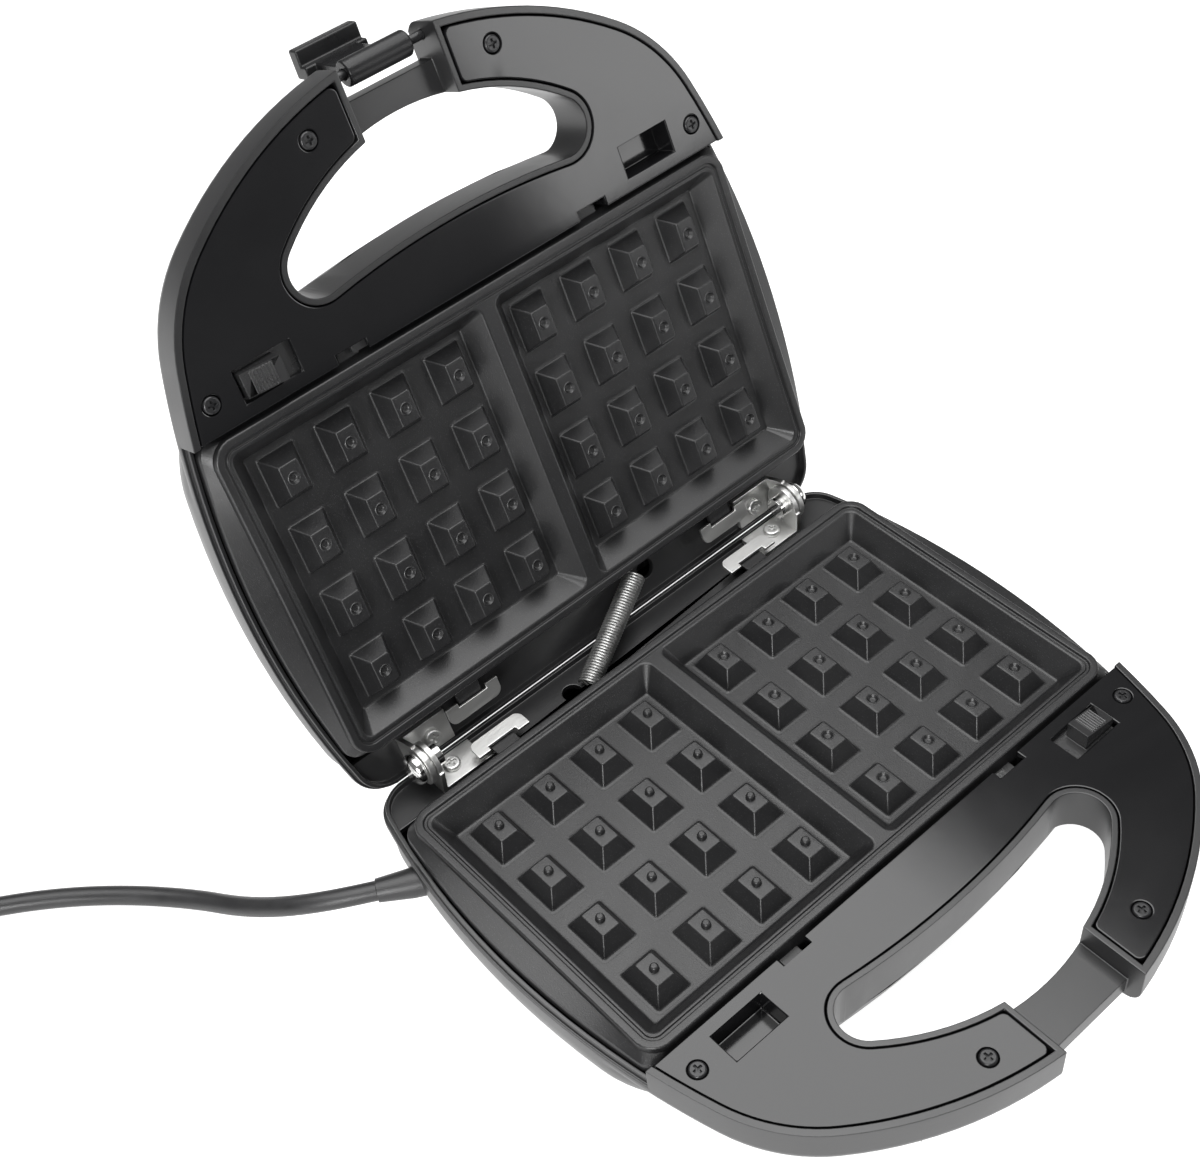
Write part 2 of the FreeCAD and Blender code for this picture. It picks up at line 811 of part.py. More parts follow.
def waffle_plate(nubbed_side):
    """Cast plate: skirt, bead, groove, two trays of studs, and tabs front and rear.

    The studs of the tray on nubbed_side carry nubs, and all other studs are dimpled.
    """
    skirt = loft(plate_skirt_wire(0, skirt_bottom), plate_skirt_wire(0, skirt_top))
    slope = loft(plate_skirt_wire(0, skirt_top), bead_wire(0, plate_face - bead_height))
    rim = loft(bead_wire(0, plate_face - bead_height), bead_wire(0, plate_face))
    top_edges = [edge for edge in rim.Edges if edge.BoundBox.ZMin > plate_face - near]
    rim = rim.makeFillet(bead_round, top_edges)
    inner_x = bead_half_x - bead_width - groove_width - tray_margin
    inner_y = bead_half_y - bead_width - groove_width - tray_margin
    belly_x = inner_x - tray_slope + plate_floor
    belly_y = inner_y - tray_slope + plate_floor
    belly_wire = rounded_rect(-belly_x, belly_x, -belly_y, belly_y, tray_corner, 0)
    belly = prism(belly_wire, floor_bottom, skirt_top)
    solid = skirt.fuse([slope, rim, belly]).removeSplitter()
    solid = solid.cut(prism(bead_wire(bead_width + groove_width, 0), plate_face - lip_drop, 0))
    ring = prism(bead_wire(bead_width, 0), plate_face - groove_depth, 0)
    solid = solid.cut(ring.cut(prism(bead_wire(bead_width + groove_width, 0), -far, far)))
    lip_z = plate_face - lip_drop
    half_divider = divider_top / 2
    for side in (-1, 1):
        xs = sorted((side * half_divider, side * inner_x))
        deep = sorted((side * (half_divider + tray_slope), side * (inner_x - tray_slope)))
        deep_y = inner_y - tray_slope
        mouth = rounded_rect(xs[0], xs[1], -inner_y, inner_y, tray_corner, lip_z)
        bottom = rounded_rect(deep[0], deep[1], -deep_y, deep_y, tray_corner, floor_top)
        solid = solid.cut(loft(bottom, mouth))
    studs = []
    for side in (-1, 1):
        for point in stud_points(side):
            piece = stud()
            crown = UP * stud_top_z
            if side == nubbed_side:
                piece = piece.fuse(drum(crown - UP * margin, nub_radius, margin + nub_height))
            else:
                piece = piece.cut(drum(crown - UP * dimple_depth, dimple_radius, far))
            piece.translate(point)
            studs.append(piece)
    solid = solid.fuse(studs + plate_tabs())
    return solid.removeSplitter()


def plate_tabs():
    """Two tabs at the rear for the clips and two at the front for the slider and the cover."""
    tabs = []
    tab_top = clip_top - clip_sheet - clip_tab_gap
    tab_end = skirt_half_y + rear_tab_length
    root = skirt_half_y - skirt_corner / 2
    front = -skirt_half_y - front_tab_length
    for side in (-1, 1):
        x = side * clip_x
        tabs.append(bar(x, rear_tab_width / 2, root, tab_end, tab_top - rear_tab_thickness, tab_top))
        tabs.append(bar(x, rear_tab_width / 2, root, skirt_half_y, skirt_bottom, tab_top))
        tabs.append(bar(side * notch_x, front_tab_width / 2, front, -root, skirt_bottom, front_tab_top))
    return tabs


def plate_clip(side):
    """Bent steel clip that holds the plate's rear tab: a U seen from above, on a foot."""
    half = clip_length / 2
    x = side * clip_x
    top = bar(x, half, clip_inner_y, clip_outer_y, clip_top - clip_sheet, clip_top)
    inner_half = half - clip_band
    top = top.cut(bar(x, inner_half, clip_inner_y - margin, clip_outer_y - clip_band, -far, far))
    corner_edges = []
    for edge in top.Edges:
        box_of = edge.BoundBox
        upright = box_of.ZLength > clip_sheet / 2 and box_of.XLength < near and box_of.YLength < near
        if upright and box_of.YMax > clip_outer_y - near:
            corner_edges.append(edge)
    top = top.makeFillet(clip_corner, corner_edges)
    leg_half = inner_half - clip_sheet
    leg_y = clip_outer_y - clip_sheet
    leg = bar(x, leg_half, leg_y, clip_outer_y, deck_top, clip_top - clip_sheet / 2)
    foot = bar(x, leg_half, leg_y, clip_outer_y + clip_foot, deck_top, deck_top + clip_sheet)
    return top.fuse([leg, foot]).removeSplitter()


def hinge_bracket(side, ear_start, bore_radius, hooked=False):
    """Bent steel bracket: a foot on the deck and an ear round the hinge axis."""
    foot_top = deck_top + sheet
    rear = hinge_y + ear_radius / 2
    front = rear - bracket_depth
    inner_x = ear_start - bracket_length + sheet
    foot = box(inner_x, ear_start + sheet, front, rear, deck_top, foot_top)
    ear = drum(Vector(ear_start, hinge_y, 0), ear_radius, sheet, ALONG_X)
    web = box(ear_start, ear_start + sheet, front, rear, deck_top, 0).cut(hinge_wedge())
    body = foot.fuse([ear, web]).removeSplitter()
    if hooked:
        hook = box(inner_x - hook_size, inner_x, front, front + hook_size, deck_top, foot_top)
        body = body.fuse(hook).removeSplitter()
    body = body.cut(drum(Vector(0, hinge_y, 0), bore_radius, far, ALONG_X))
    body = body.cut(post(bracket_screw_point(1), screw_shank_radius + screw_gap, -far, 0))
    return body if side > 0 else body.mirror(Vector(), ALONG_X)


def bracket_screws():
    """The two pan head screws of a half's hinge brackets."""
    seat = deck_top + sheet
    length = sheet + deck_thickness
    pieces = []
    for side in (-1, 1):
        point = bracket_screw_point(side)
        pieces.append(pan_head_screw(point, seat, pan_screw_head_radius, pan_screw_head_height, length))
    return Part.makeCompound(pieces)


def hinge_pin(side):
    """Shoulder pin with a domed head outside and a nut inside, along the hinge axis."""
    inner = base_ear_x - nut_height
    outer = lid_ear_x + sheet + washer_space
    shaft = drum(Vector(inner, hinge_y, 0), pin_radius, outer - inner, ALONG_X)
    nut = drum(Vector(inner, hinge_y, 0), nut_radius, nut_height, ALONG_X)
    dome = drum(Vector(outer, hinge_y, 0), pin_dome_radius, pin_dome_height, ALONG_X)
    rim = [edge for edge in dome.Edges if edge.Closed and edge.BoundBox.XMin > outer + pin_dome_height / 2]
    dome = dome.makeFillet(pin_dome_round, rim)
    body = shaft.fuse([dome, nut]).removeSplitter()
    return body if side > 0 else body.mirror(Vector(), ALONG_X)


def hinge_washers():
    """Washers between the ears and under each pin's head."""
    pieces = []
    starts = (base_ear_x + sheet, lid_ear_x + sheet + washer_space - washer_thickness)
    for start in starts:
        ring = drum(Vector(start, hinge_y, 0), washer_radius, washer_thickness, ALONG_X)
        ring = ring.cut(drum(Vector(0, hinge_y, 0), pin_radius, far, ALONG_X))
        pieces.append(ring)
        pieces.append(ring.mirror(Vector(), ALONG_X))
    return Part.makeCompound(pieces)


def release_slider():
    """Slider: ribbed button, plate under the cover and a tongue over the waffle plate's tab."""
    inner_x = slider_outer_x - slider_length
    half_y = slider_width / 2
    corners = [
        Vector(inner_x, window_y - half_y, slider_top),
        Vector(slider_outer_x, window_y - half_y, slider_top),
        Vector(slider_outer_x, window_y - half_y, face_z + slider_low_rise),
        Vector(inner_x, window_y - half_y, face_z + slider_rise),
    ]
    side = Part.Face(Part.makePolygon(corners + corners[:1]))
    button = side.extrude(ALONG_Y * slider_width)
    back = window_y + slider_plate_half
    front = window_y - slider_plate_half
    plate = box(tongue_start_x, slider_outer_x, front, back, slider_bottom, slider_top)
    reach = -skirt_half_y - margin
    tongue = box(tongue_start_x, tongue_end_x, back - margin, reach, slider_bottom, slider_top)
    pad = box(tongue_start_x, tongue_start_x + spring_stop_wall, window_y - slider_spring_radius * 2,
              window_y + slider_spring_radius * 2, spring_pad_bottom, slider_bottom)
    ribs = []
    rib_half_y = half_y * slider_rib_share
    start = (inner_x + slider_outer_x) / 2 - slider_rib_pitch * (slider_rib_count - 1) / 2
    for index in range(slider_rib_count):
        x = start + index * slider_rib_pitch
        fall = (slider_rise - slider_low_rise) * (x - inner_x) / slider_length
        top = face_z + slider_rise - fall + slider_rib_height
        ribs.append(bar(x, slider_rib_half, window_y - rib_half_y, window_y + rib_half_y, top - margin, top))
    return button.fuse([plate, tongue, pad] + ribs).removeSplitter()


def biarc_edges(start, start_tangent, end, end_tangent):
    """Two arcs that join two points with given tangents."""
    span = end - start
    both = start_tangent + end_tangent
    a = 2 * (1 - start_tangent.dot(end_tangent))
    b = 2 * span.dot(both)
    c = -span.dot(span)
    reach = (-b + math.sqrt(b * b - 4 * a * c)) / (2 * a) if a > 1e-9 else -c / b
    joint = (start + start_tangent * reach + end - end_tangent * reach) * 0.5
    return [tangent_arc(start, start_tangent, joint), tangent_arc(end, end_tangent * -1, joint)]


def tangent_arc(start, tangent, end):
    """Arc that leaves start along tangent and ends at end."""
    chord = end - start
    along = unit(chord)
    rise = tangent - along * tangent.dot(along)
    if rise.Length < 1e-6:
        return line_edge(start, end)
    angle = math.acos(max(-1.0, min(1.0, tangent.dot(along))))
    middle = start + chord * 0.5 + unit(rise) * (chord.Length / 2 * math.tan(angle / 2))
    return Part.Arc(start, middle, end).toShape()


def wound_tube(point_at, turns, tube_radius):
    """Tube of tube_radius along a winding given by point_at(turn), quarter by quarter."""
    steps = int(round(turns * arcs_per_turn))

    def tangent_at(turn):
        return unit(point_at(turn + turn_step) - point_at(turn - turn_step))

    edges = []
    lead = 2 * tube_radius
    first, first_tangent = point_at(0), tangent_at(0)
    edges.append(line_edge(first - first_tangent * lead, first))
    for step in range(steps):
        a = step * turns / steps
        b = (step + 1) * turns / steps
        edges.extend(biarc_edges(point_at(a), tangent_at(a), point_at(b), tangent_at(b)))
    last, last_tangent = point_at(turns), tangent_at(turns)
    edges.append(line_edge(last, last + last_tangent * lead))
    path = Part.Wire(Part.__sortEdges__(edges))
    section = Part.Wire(Part.Circle(first - first_tangent * lead, first_tangent, tube_radius).toShape())
    return path.makePipeShell([section], True, False)


def least_self_gap(point_at, turns, tube_radius):
    """Least clear gap between neighbouring turns, measured on points."""
    count = int(turns * gap_samples) + 1
    points = [point_at(index / gap_samples) for index in range(count)]
    apart = gap_samples // 2
    least = far
    for index, point in enumerate(points):
        for other in points[index + apart:]:
            least = min(least, point.distanceToPoint(other))
    return least - 2 * tube_radius


def helix_about(start, end, radius, turns):
    """Function of the turn number for a helix from start to end."""
    axis = unit(end - start)
    side = unit(axis.cross(UP if abs(axis.z) < steep else ALONG_Y))
    up = axis.cross(side)
    length = (end - start).Length

    def point_at(turn):
        angle = 2 * math.pi * turn
        round_axis = side * (radius * math.cos(angle)) + up * (radius * math.sin(angle))
        return start + axis * (length * turn / turns) + round_axis

    return point_at


def slider_spring():
    """Return spring between the slider's plate and the pocket behind it."""
    wire_radius = slider_spring_wire / 2
    end_x = tongue_start_x - wire_radius
    start_x = end_x - slider_spring_length + slider_spring_wire
    z = slider_bottom - slider_spring_radius - slider_spring_wire
    start = Vector(start_x, window_y, z)
    point_at = helix_about(start, Vector(end_x, window_y, z), slider_spring_radius, slider_spring_turns)
    gap = least_self_gap(point_at, slider_spring_turns, wire_radius)
    print("slider spring least gap", round(gap, 2))
    return wound_tube(point_at, slider_spring_turns, wire_radius)


def reflector_pan():
    """Pressed steel pan under the plate, with an outward lip that carries it."""
    lip_x = pan_half_x - pan_lip
    lip_y = pan_half_y - pan_lip
    outer = prism(rounded_rect(-lip_x, lip_x, -lip_y, lip_y, pan_corner, 0), pan_floor - pan_sheet, pan_top)
    lip_wire = rounded_rect(-pan_half_x, pan_half_x, -pan_half_y, pan_half_y, pan_corner + pan_lip, 0)
    lip = prism(lip_wire, pan_top - pan_sheet, pan_top)
    inner_x = lip_x - pan_sheet
    inner_y = lip_y - pan_sheet
    hollow_wire = rounded_rect(-inner_x, inner_x, -inner_y, inner_y, pan_corner - pan_sheet, 0)
    pan = outer.fuse(lip).removeSplitter().cut(prism(hollow_wire, pan_floor, far))
    for point in post_points():
        pan = pan.cut(post(point, screw_shank_radius + screw_gap, -far, 0))
    for side in (-1, 1):
        pan = pan.cut(post(element_lead_point(side), element_radius, -far, 0))
    return pan


def reflector_screws():
    """The four screws that hold the reflector pan to its posts."""
    length = pan_sheet + pan_screw_bite
    radius = pan_screw_head_radius
    pieces = []
    for point in post_points():
        pieces.append(pan_head_screw(point, pan_floor, radius, pan_screw_head_height, length))
    return Part.makeCompound(pieces)


def element_height():
    """Height of the heating element's middle line."""
    return floor_bottom - element_gap - element_radius


def element_lead_point(side):
    """Place where an end of the heating element turns down through the pan."""
    return Vector(side * element_half_y / 2, element_half_y, element_height())


def heating_element():
    """Tubular heater: a loop under the plate whose two ends turn down through the pan."""
    z = element_height()
    radius = element_half_y / 2
    right = Vector(element_half_x - radius, 0, z)
    lead = element_lead_point(1)
    top = Vector(right.x, element_half_y, z)
    side_mid = Vector(element_half_x, element_half_y - radius, z)
    low_mid = Vector(element_half_x, radius - element_half_y, z)
    low = Vector(right.x, -element_half_y, z)
    bend = 2 * element_radius
    turn = Vector(lead.x + bend, lead.y, z)
    down = Vector(lead.x, lead.y, z - bend)
    bend_centre = Vector(turn.x, lead.y, down.z)
    upper_centre = Vector(top.x, side_mid.y, z)
    lower_centre = Vector(low.x, low_mid.y, z)
    edges = [
        line_edge(down - UP * element_lead, down),
        arc_edge(bend_centre, bend, down, turn),
        line_edge(turn, top),
        arc_edge(upper_centre, radius, top, side_mid),
        line_edge(side_mid, low_mid),
        arc_edge(lower_centre, radius, low_mid, low),
        line_edge(low, mirrored(low)),
        arc_edge(mirrored(lower_centre), radius, mirrored(low), mirrored(low_mid)),
        line_edge(mirrored(low_mid), mirrored(side_mid)),
        arc_edge(mirrored(upper_centre), radius, mirrored(side_mid), mirrored(top)),
        line_edge(mirrored(top), mirrored(turn)),
        arc_edge(mirrored(bend_centre), bend, mirrored(turn), mirrored(down)),
        line_edge(mirrored(down), mirrored(down) - UP * element_lead),
    ]
    tip = down - UP * element_lead
    section = Part.Wire(Part.Circle(tip, UP, element_radius).toShape())
    return Part.Wire(edges).makePipeShell([section], True, False)


def thermostat():
    """Disc thermostat under the pan."""
    seat = pan_floor - pan_sheet
    y = -element_half_y / 2
    bottom = seat - thermostat_height
    body = post(Vector(0, y, 0), thermostat_radius, bottom, seat)
    terminals = []
    for side in (-1, 1):
        x = side * thermostat_radius / 2
        terminals.append(bar(x, sheet / 2, y - sheet, y + sheet, bottom - sheet, bottom))
    return body.fuse(terminals).removeSplitter()


def thermal_fuse():
    """Thermal fuse in its sleeve, held against the pan."""
    axis_z = pan_floor - pan_sheet - fuse_radius
    start = Vector(-thermostat_radius * 2 - fuse_length, -element_half_y / 2, axis_z)
    return drum(start, fuse_radius, fuse_length, ALONG_X)


def terminal_block():
    """Terminal block on the shell's floor beside the cord clamp."""
    length = terminal_pitch * terminal_count
    rear = terminal_y + terminal_pitch
    top = shell_floor + terminal_pitch
    body = bar(terminal_x, length / 2, terminal_y, rear, shell_floor, top)
    for index in range(terminal_count):
        x = terminal_x + (index - (terminal_count - 1) / 2) * terminal_pitch
        hole = Vector(x, (terminal_y + rear) / 2, 0)
        body = body.cut(post(hole, screw_shank_radius, shell_floor + terminal_pitch / 2, top))
    return body


def cord_gland():
    """Strain relief: a collar in the wall and a tapering sleeve outside it, bored for the lead."""
    axis = gland_axis()
    seat = gland_seat()
    start = seat - axis * gland_inside
    collar = drum(start, gland_collar_radius, gland_inside + gland_straight, axis)
    taper = gland_outside - gland_straight
    cone = Part.makeCone(gland_collar_radius, gland_tip_radius, taper, seat + axis * gland_straight, axis)
    flange = drum(start, gland_flange_radius, gland_flange, axis)
    body = collar.fuse([cone, flange]).removeSplitter()
    return body.cut(drum(start, cord_radius + cord_bore_gap, far, axis))


def cord_clamp():
    """Grip ring that holds the lead behind the gland's flange."""
    start = gland_seat() - gland_axis() * (gland_inside + clamp_length)
    body = drum(start, clamp_radius, clamp_length, gland_axis())
    return body.cut(drum(start, cord_radius + cord_bore_gap, clamp_length, gland_axis()))


def rubber_feet():
    """Four feet with stems pressed into the shell's floor."""
    pieces = []
    for point in foot_points():
        middle_z = point.z - foot_height / 2
        pad = post(point, foot_radius, point.z - foot_height, point.z)
        lower = [edge for edge in pad.Edges if edge.Closed and edge.BoundBox.ZMax < middle_z]
        pad = pad.makeFillet(foot_round, lower)
        pieces.append(pad.fuse(drum(point, foot_stem_radius, shell_wall)).removeSplitter())
    return Part.makeCompound(pieces)


def latch_clip():
    """Latch in its locked place: hub on the pin, stem and a wide hook under the catch bar."""
    hook_top = catch_bottom - latch_catch_gap
    hook_bottom = hook_top - latch_lip_thickness
    front = latch_y + latch_front_offset
    back = latch_y + latch_back_offset
    tip = latch_y + latch_lip_reach
    start = Vector(-latch_half_width, latch_y, latch_z)
    hub = drum(start, latch_hub_radius, 2 * latch_half_width, ALONG_X)
    stem = bar(0, latch_stem_half_width, front, back, hook_top, latch_z)
    head = bar(0, latch_half_width, front, back, hook_bottom, hook_top + latch_head_rise)
    lip = bar(0, latch_half_width, front, tip, hook_bottom, hook_top)
    body = hub.fuse([stem, head, lip]).removeSplitter()
    return body.cut(drum(start, latch_pin_radius + pin_running_gap, 2 * latch_half_width, ALONG_X))


def latch_pin():
    """Steel pin across the lid's latch bay, drawn as a lower half."""
    reach = recess_half_width + recess_wall
    return drum(Vector(-reach, latch_y, -latch_z), latch_pin_radius, 2 * reach, ALONG_X)


def indicator_lenses():
    """Two small lenses in the lid's top, drawn as a lower half."""
    pieces = []
    for side in (-1, 1):
        point = Vector(side * lens_x, lens_y, 0)
        body = post(point, lens_radius, -shell_depth - lens_proud, shell_floor)
        flange = post(point, lens_radius + lens_flange, shell_floor, shell_floor + lens_flange)
        pieces.append(body.fuse(flange).removeSplitter())
    return Part.makeCompound(pieces)


def indicator_lamps():
    """Lamps behind the lenses, drawn as a lower half."""
    pieces = []
    for side in (-1, 1):
        point = Vector(side * lens_x, lens_y, 0)
        bottom = shell_floor + lens_flange
        pieces.append(post(point, lamp_radius, bottom, bottom + lamp_length))
    return Part.makeCompound(pieces)


def sleeve_ends():
    """Ends of the steel sleeve with the lid open: one on each deck."""
    height = deck_top + sleeve_radius + sleeve_wire / 2
    start = Vector(sleeve_base_x, sleeve_y, height)
    end = Vector(-sleeve_lid_x, sleeve_y, height)
    return start, to_lid(Part.Vertex(end)).Point


def wire_sleeve():
    """Close-wound steel sleeve that guards the wires between the halves."""
    start, end = sleeve_ends()
    turns = int((end - start).Length / sleeve_pitch)
    point_at = helix_about(start, end, sleeve_radius, turns)
    gap = least_self_gap(point_at, turns, sleeve_wire / 2)
    print("wire sleeve turns", turns, "least gap", round(gap, 2))
    return wound_tube(point_at, turns, sleeve_wire / 2)


def cord_route():
    """Points of the lead from the gland's tip to the start of the coil, on the table."""
    start = gland_seat() + gland_axis() * (gland_outside - cord_first_run)
    points = [start, start + gland_axis() * cord_straight]
    for x, y, lift in cord_bends:
        points.append(Vector(x, y, table_z + lift))
    return points


def coil_frame():
    """Start of the coil, its first direction and its middle."""
    route = cord_route()
    heading = unit(Vector(route[-1].x - route[-2].x, route[-1].y - route[-2].y, 0))
    start = route[-1] + heading * cord_diameter
    left = Vector(-heading.y, heading.x, 0)
    return start, heading, start + left * coil_radius


def coil_point(turn):
    """Middle line of the coil: in on the table, up half way round, and out on top."""
    start, heading, centre = coil_frame()
    out = unit(start - centre)
    side = Vector(-out.y, out.x, 0)
    reverse = coil_turns_in + coil_climb_turns / 2
    radius = coil_radius - coil_step * (turn if turn < reverse else 2 * reverse - turn)
    climb = min(1.0, max(0.0, (turn - coil_turns_in) / coil_climb_turns))
    smooth = climb * climb * (3 - 2 * climb)
    angle = 2 * math.pi * turn
    flat = centre + out * (radius * math.cos(angle)) + side * (radius * math.sin(angle))
    return flat + Vector(0, 0, coil_step * smooth)


def cord_coil():
    """The unseen length of the lead, wound up."""
    gap = least_self_gap(coil_point, coil_turns, cord_radius)
    print("cord coil turns", coil_turns, "least gap", round(gap, 2))
    return wound_tube(coil_point, coil_turns, cord_radius)


def coil_end():
    """End of the coil's tube and the direction in which it leaves."""
    direction = unit(coil_point(coil_turns) - coil_point(coil_turns - turn_step))
    return coil_point(coil_turns) + direction * cord_diameter, direction


def tail_route():
    """Points of the lead from the coil to the plug's neck."""
    start, direction = coil_end()
    flat = unit(Vector(direction.x, direction.y, 0))
    left = Vector(-flat.y, flat.x, 0)
    plug_z = -stand_height + plug_height / 2
    first = start + flat * tail_first_run
    second = Vector(first.x, first.y, plug_z) + flat * tail_run + left * tail_drift
    third = second + flat * tail_run + left * (2 * tail_drift)
    return [start, first, second, third]


def tube_along(points, label):
    """Round tube along straight runs joined by arcs as large as the runs allow."""
    edges = []
    radii = []
    last = points[0]
    for before, here, after in zip(points, points[1:], points[2:]):
        back = unit(before - here)
        ahead = unit(after - here)
        shorter = min((before - here).Length, (after - here).Length)
        reach = cord_arc_share * shorter
        turn = math.pi - back.getAngle(ahead)
        radii.append(reach / math.tan(turn / 2))
        first = here + back * reach
        second = here + ahead * reach
        bisector = unit(back + ahead)
        centre = here + bisector * math.hypot(radii[-1], reach)
        edges.append(line_edge(last, first))
        edges.append(arc_edge(centre, radii[-1], first, second))
        last = second
    edges.append(line_edge(last, points[-1]))
    path = Part.Wire(edges)
    section = Part.Wire(Part.Circle(points[0], points[1] - points[0], cord_radius).toShape())
    tube = path.makePipeShell([section], True, False)
    expected = math.pi * cord_radius ** 2 * path.Length
    print(label, "radii", [round(radius) for radius in radii], "length", round(path.Length, 1),
          "volume share", round(tube.Volume / expected, 4))
    return tube


def power_cord():
    """The lead from inside the gland to the coil."""
    tube = tube_along(cord_route(), "power cord")
    inside = gland_inside + clamp_length + gland_outside - cord_first_run
    start = cord_route()[0] - gland_axis() * inside
    return tube.fuse(drum(start, cord_radius, inside, gland_axis())).removeSplitter()


def cord_tail():
    """The lead from the coil to the plug."""
    return tube_along(tail_route(), "cord tail")


def tie_frame(turn):
    """Middle, outward and forward directions of the coil's bundle at a turn."""
    centre = coil_frame()[2]
    lower = coil_point(turn)
    upper = coil_point(turn + 1)
    middle = (lower + upper) * 0.5
    out = unit(Vector(middle.x - centre.x, middle.y - centre.y, 0))
    return middle, out, Vector(-out.y, out.x, 0)


def cord_tie():
    """Flat tie round two stacked turns of the coil."""
    middle, out, along = tie_frame(tie_turn)
    half_w = cord_radius + tie_gap + tie_thickness
    half_h = cord_radius + coil_step / 2 + tie_gap + tie_thickness
    outer = rounded_rect(-half_w, half_w, -half_h, half_h, half_w - near, 0)
    inner_w = half_w - tie_thickness
    inner_h = half_h - tie_thickness
    inner = rounded_rect(-inner_w, inner_w, -inner_h, inner_h, inner_w - near, 0)
    band = prism(outer, -tie_width / 2, tie_width / 2).cut(prism(inner, -tie_width, tie_width))
    band.Placement = FreeCAD.Placement(middle, FreeCAD.Rotation(out, UP, along, "XYZ"))
    return band


def plug_placement():
    """Place of the plug: its neck on the end of the tail, its blades pointing on."""
    route = tail_route()
    heading = route[-1] - route[-2]
    flat = unit(Vector(heading.x, heading.y, 0))
    across = Vector(-flat.y, flat.x, 0)
    return FreeCAD.Placement(route[-1], FreeCAD.Rotation(flat, across, UP, "XYZ"))


def plug():
    """Moulded plug lying on the table at the end of the tail."""
    neck = Part.makeCone(plug_neck_radius, plug_neck_end_radius, plug_neck, Vector(), ALONG_X)
    end = plug_neck + plug_length
    shoulder = plug_neck + plug_length * plug_shoulder_at
    turned = FreeCAD.Rotation(ALONG_Y, UP, ALONG_X, "XYZ")
    sections = []
    for x, share in ((plug_neck, plug_neck_share), (shoulder, 1.0), (end, plug_end_share)):
        half_y = plug_width / 2 * share
        half_z = plug_height / 2 * share
        wire = rounded_rect(-half_y, half_y, -half_z, half_z, plug_corner * share, 0)
        wire.Placement = FreeCAD.Placement(Vector(x, 0, 0), turned)
        sections.append(wire)
    body = neck.fuse(loft(*sections)).removeSplitter()
    body.Placement = plug_placement()
    return body


def plug_blades():
    """The plug's two flat blades."""
    start = plug_neck + plug_length
    half = blade_thickness / 2
    half_width = blade_width / 2
    pieces = []
    for side in (-1, 1):
        y = side * blade_spacing / 2
        pieces.append(box(start, start + blade_length, y - half, y + half, -half_width, half_width))
    blades = Part.makeCompound(pieces)
    blades.Placement = plug_placement()
    return blades


def turned_over(shape):
    """A lower half's piece as it sits in the closed lid."""
    copy = shape.copy()
    copy.rotate(Vector(), ALONG_Y, 180)
    return copy


def swung_open(shape):
    """A piece of the closed lid with the lid open."""
    copy = shape.copy()
    copy.rotate(axis_point, ALONG_X, -open_angle)
    return copy


def to_lid(shape):
    """A lower half's piece as it sits in the open lid."""
    return swung_open(turned_over(shape))


def rest_latch():
    """The latch swung out, with the lid open."""
    clip = latch_clip()
    clip.rotate(Vector(0, latch_y, latch_z), ALONG_X, -latch_swing)
    return swung_open(clip)


def half_pieces():
    """Pieces that both halves have, drawn as a lower half."""
    return {
        "handle_cover": handle_cover(),
        "cover_screws": cover_screws(),
        "plate_clip_left": plate_clip(-1),
        "plate_clip_right": plate_clip(1),
        "reflector_pan": reflector_pan(),
        "reflector_screws": reflector_screws(),
        "heating_element": heating_element(),
        "thermostat": thermostat(),
        "hinge_screws": bracket_screws(),
        "release_slider": release_slider(),
        "slider_spring": slider_spring(),
    }


def build():
    """All nodes of the part, with the lid open, before the origin is set."""
    shared = half_pieces()
    nodes = {"base_shell": base_shell(), "lid_shell": to_lid(lid_shell())}
    swapped = {"plate_clip_left": "plate_clip_right", "plate_clip_right": "plate_clip_left"}
    for name, shape in shared.items():
        nodes["base_" + name] = shape
        nodes["lid_" + swapped.get(name, name)] = to_lid(shape)
    nodes["base_waffle_plate"] = waffle_plate(-1)
    nodes["lid_waffle_plate"] = to_lid(waffle_plate(None))
    running_bore = pin_radius + pin_running_gap
    nodes["base_hinge_bracket_left"] = hinge_bracket(-1, base_ear_x, pin_radius, hooked=True)
    nodes["base_hinge_bracket_right"] = hinge_bracket(1, base_ear_x, pin_radius)
    nodes["lid_hinge_bracket_left"] = to_lid(hinge_bracket(1, lid_ear_x, running_bore))
    nodes["lid_hinge_bracket_right"] = to_lid(hinge_bracket(-1, lid_ear_x, running_bore))
    nodes["hinge_pin_left"] = hinge_pin(-1)
    nodes["hinge_pin_right"] = hinge_pin(1)
    nodes["hinge_washers"] = hinge_washers()
    nodes["thermal_fuse"] = thermal_fuse()
    nodes["terminal_block"] = terminal_block()
    nodes["rubber_feet"] = rubber_feet()
    nodes["cord_clamp"] = cord_clamp()
    nodes["latch_clip"] = rest_latch()
    nodes["latch_pin"] = to_lid(latch_pin())
    nodes["indicator_lenses"] = to_lid(indicator_lenses())
    nodes["indicator_lamps"] = to_lid(indicator_lamps())
    nodes["wire_sleeve"] = wire_sleeve()
    nodes["cord_gland"] = cord_gland()
    nodes["power_cord"] = power_cord()
    nodes["cord_coil"] = cord_coil()
    nodes["cord_tail"] = cord_tail()
    nodes["cord_tie"] = cord_tie()
    nodes["plug"] = plug()
    nodes["plug_blades"] = plug_blades()
    return nodes


cord_nodes = ("cord_gland", "power_cord", "cord_coil", "cord_tail", "cord_tie", "plug", "plug_blades")


def origin_of(nodes):
    """Middle of the underside of the object without its lead."""
    object_box = None
    for name, shape in nodes.items():
        if name in cord_nodes:
            continue
        shape_box = shape.optimalBoundingBox(False)
        if object_box is None:
            object_box = shape_box
        else:
            object_box.add(shape_box)
    return Vector(object_box.Center.x, object_box.Center.y, object_box.ZMin)


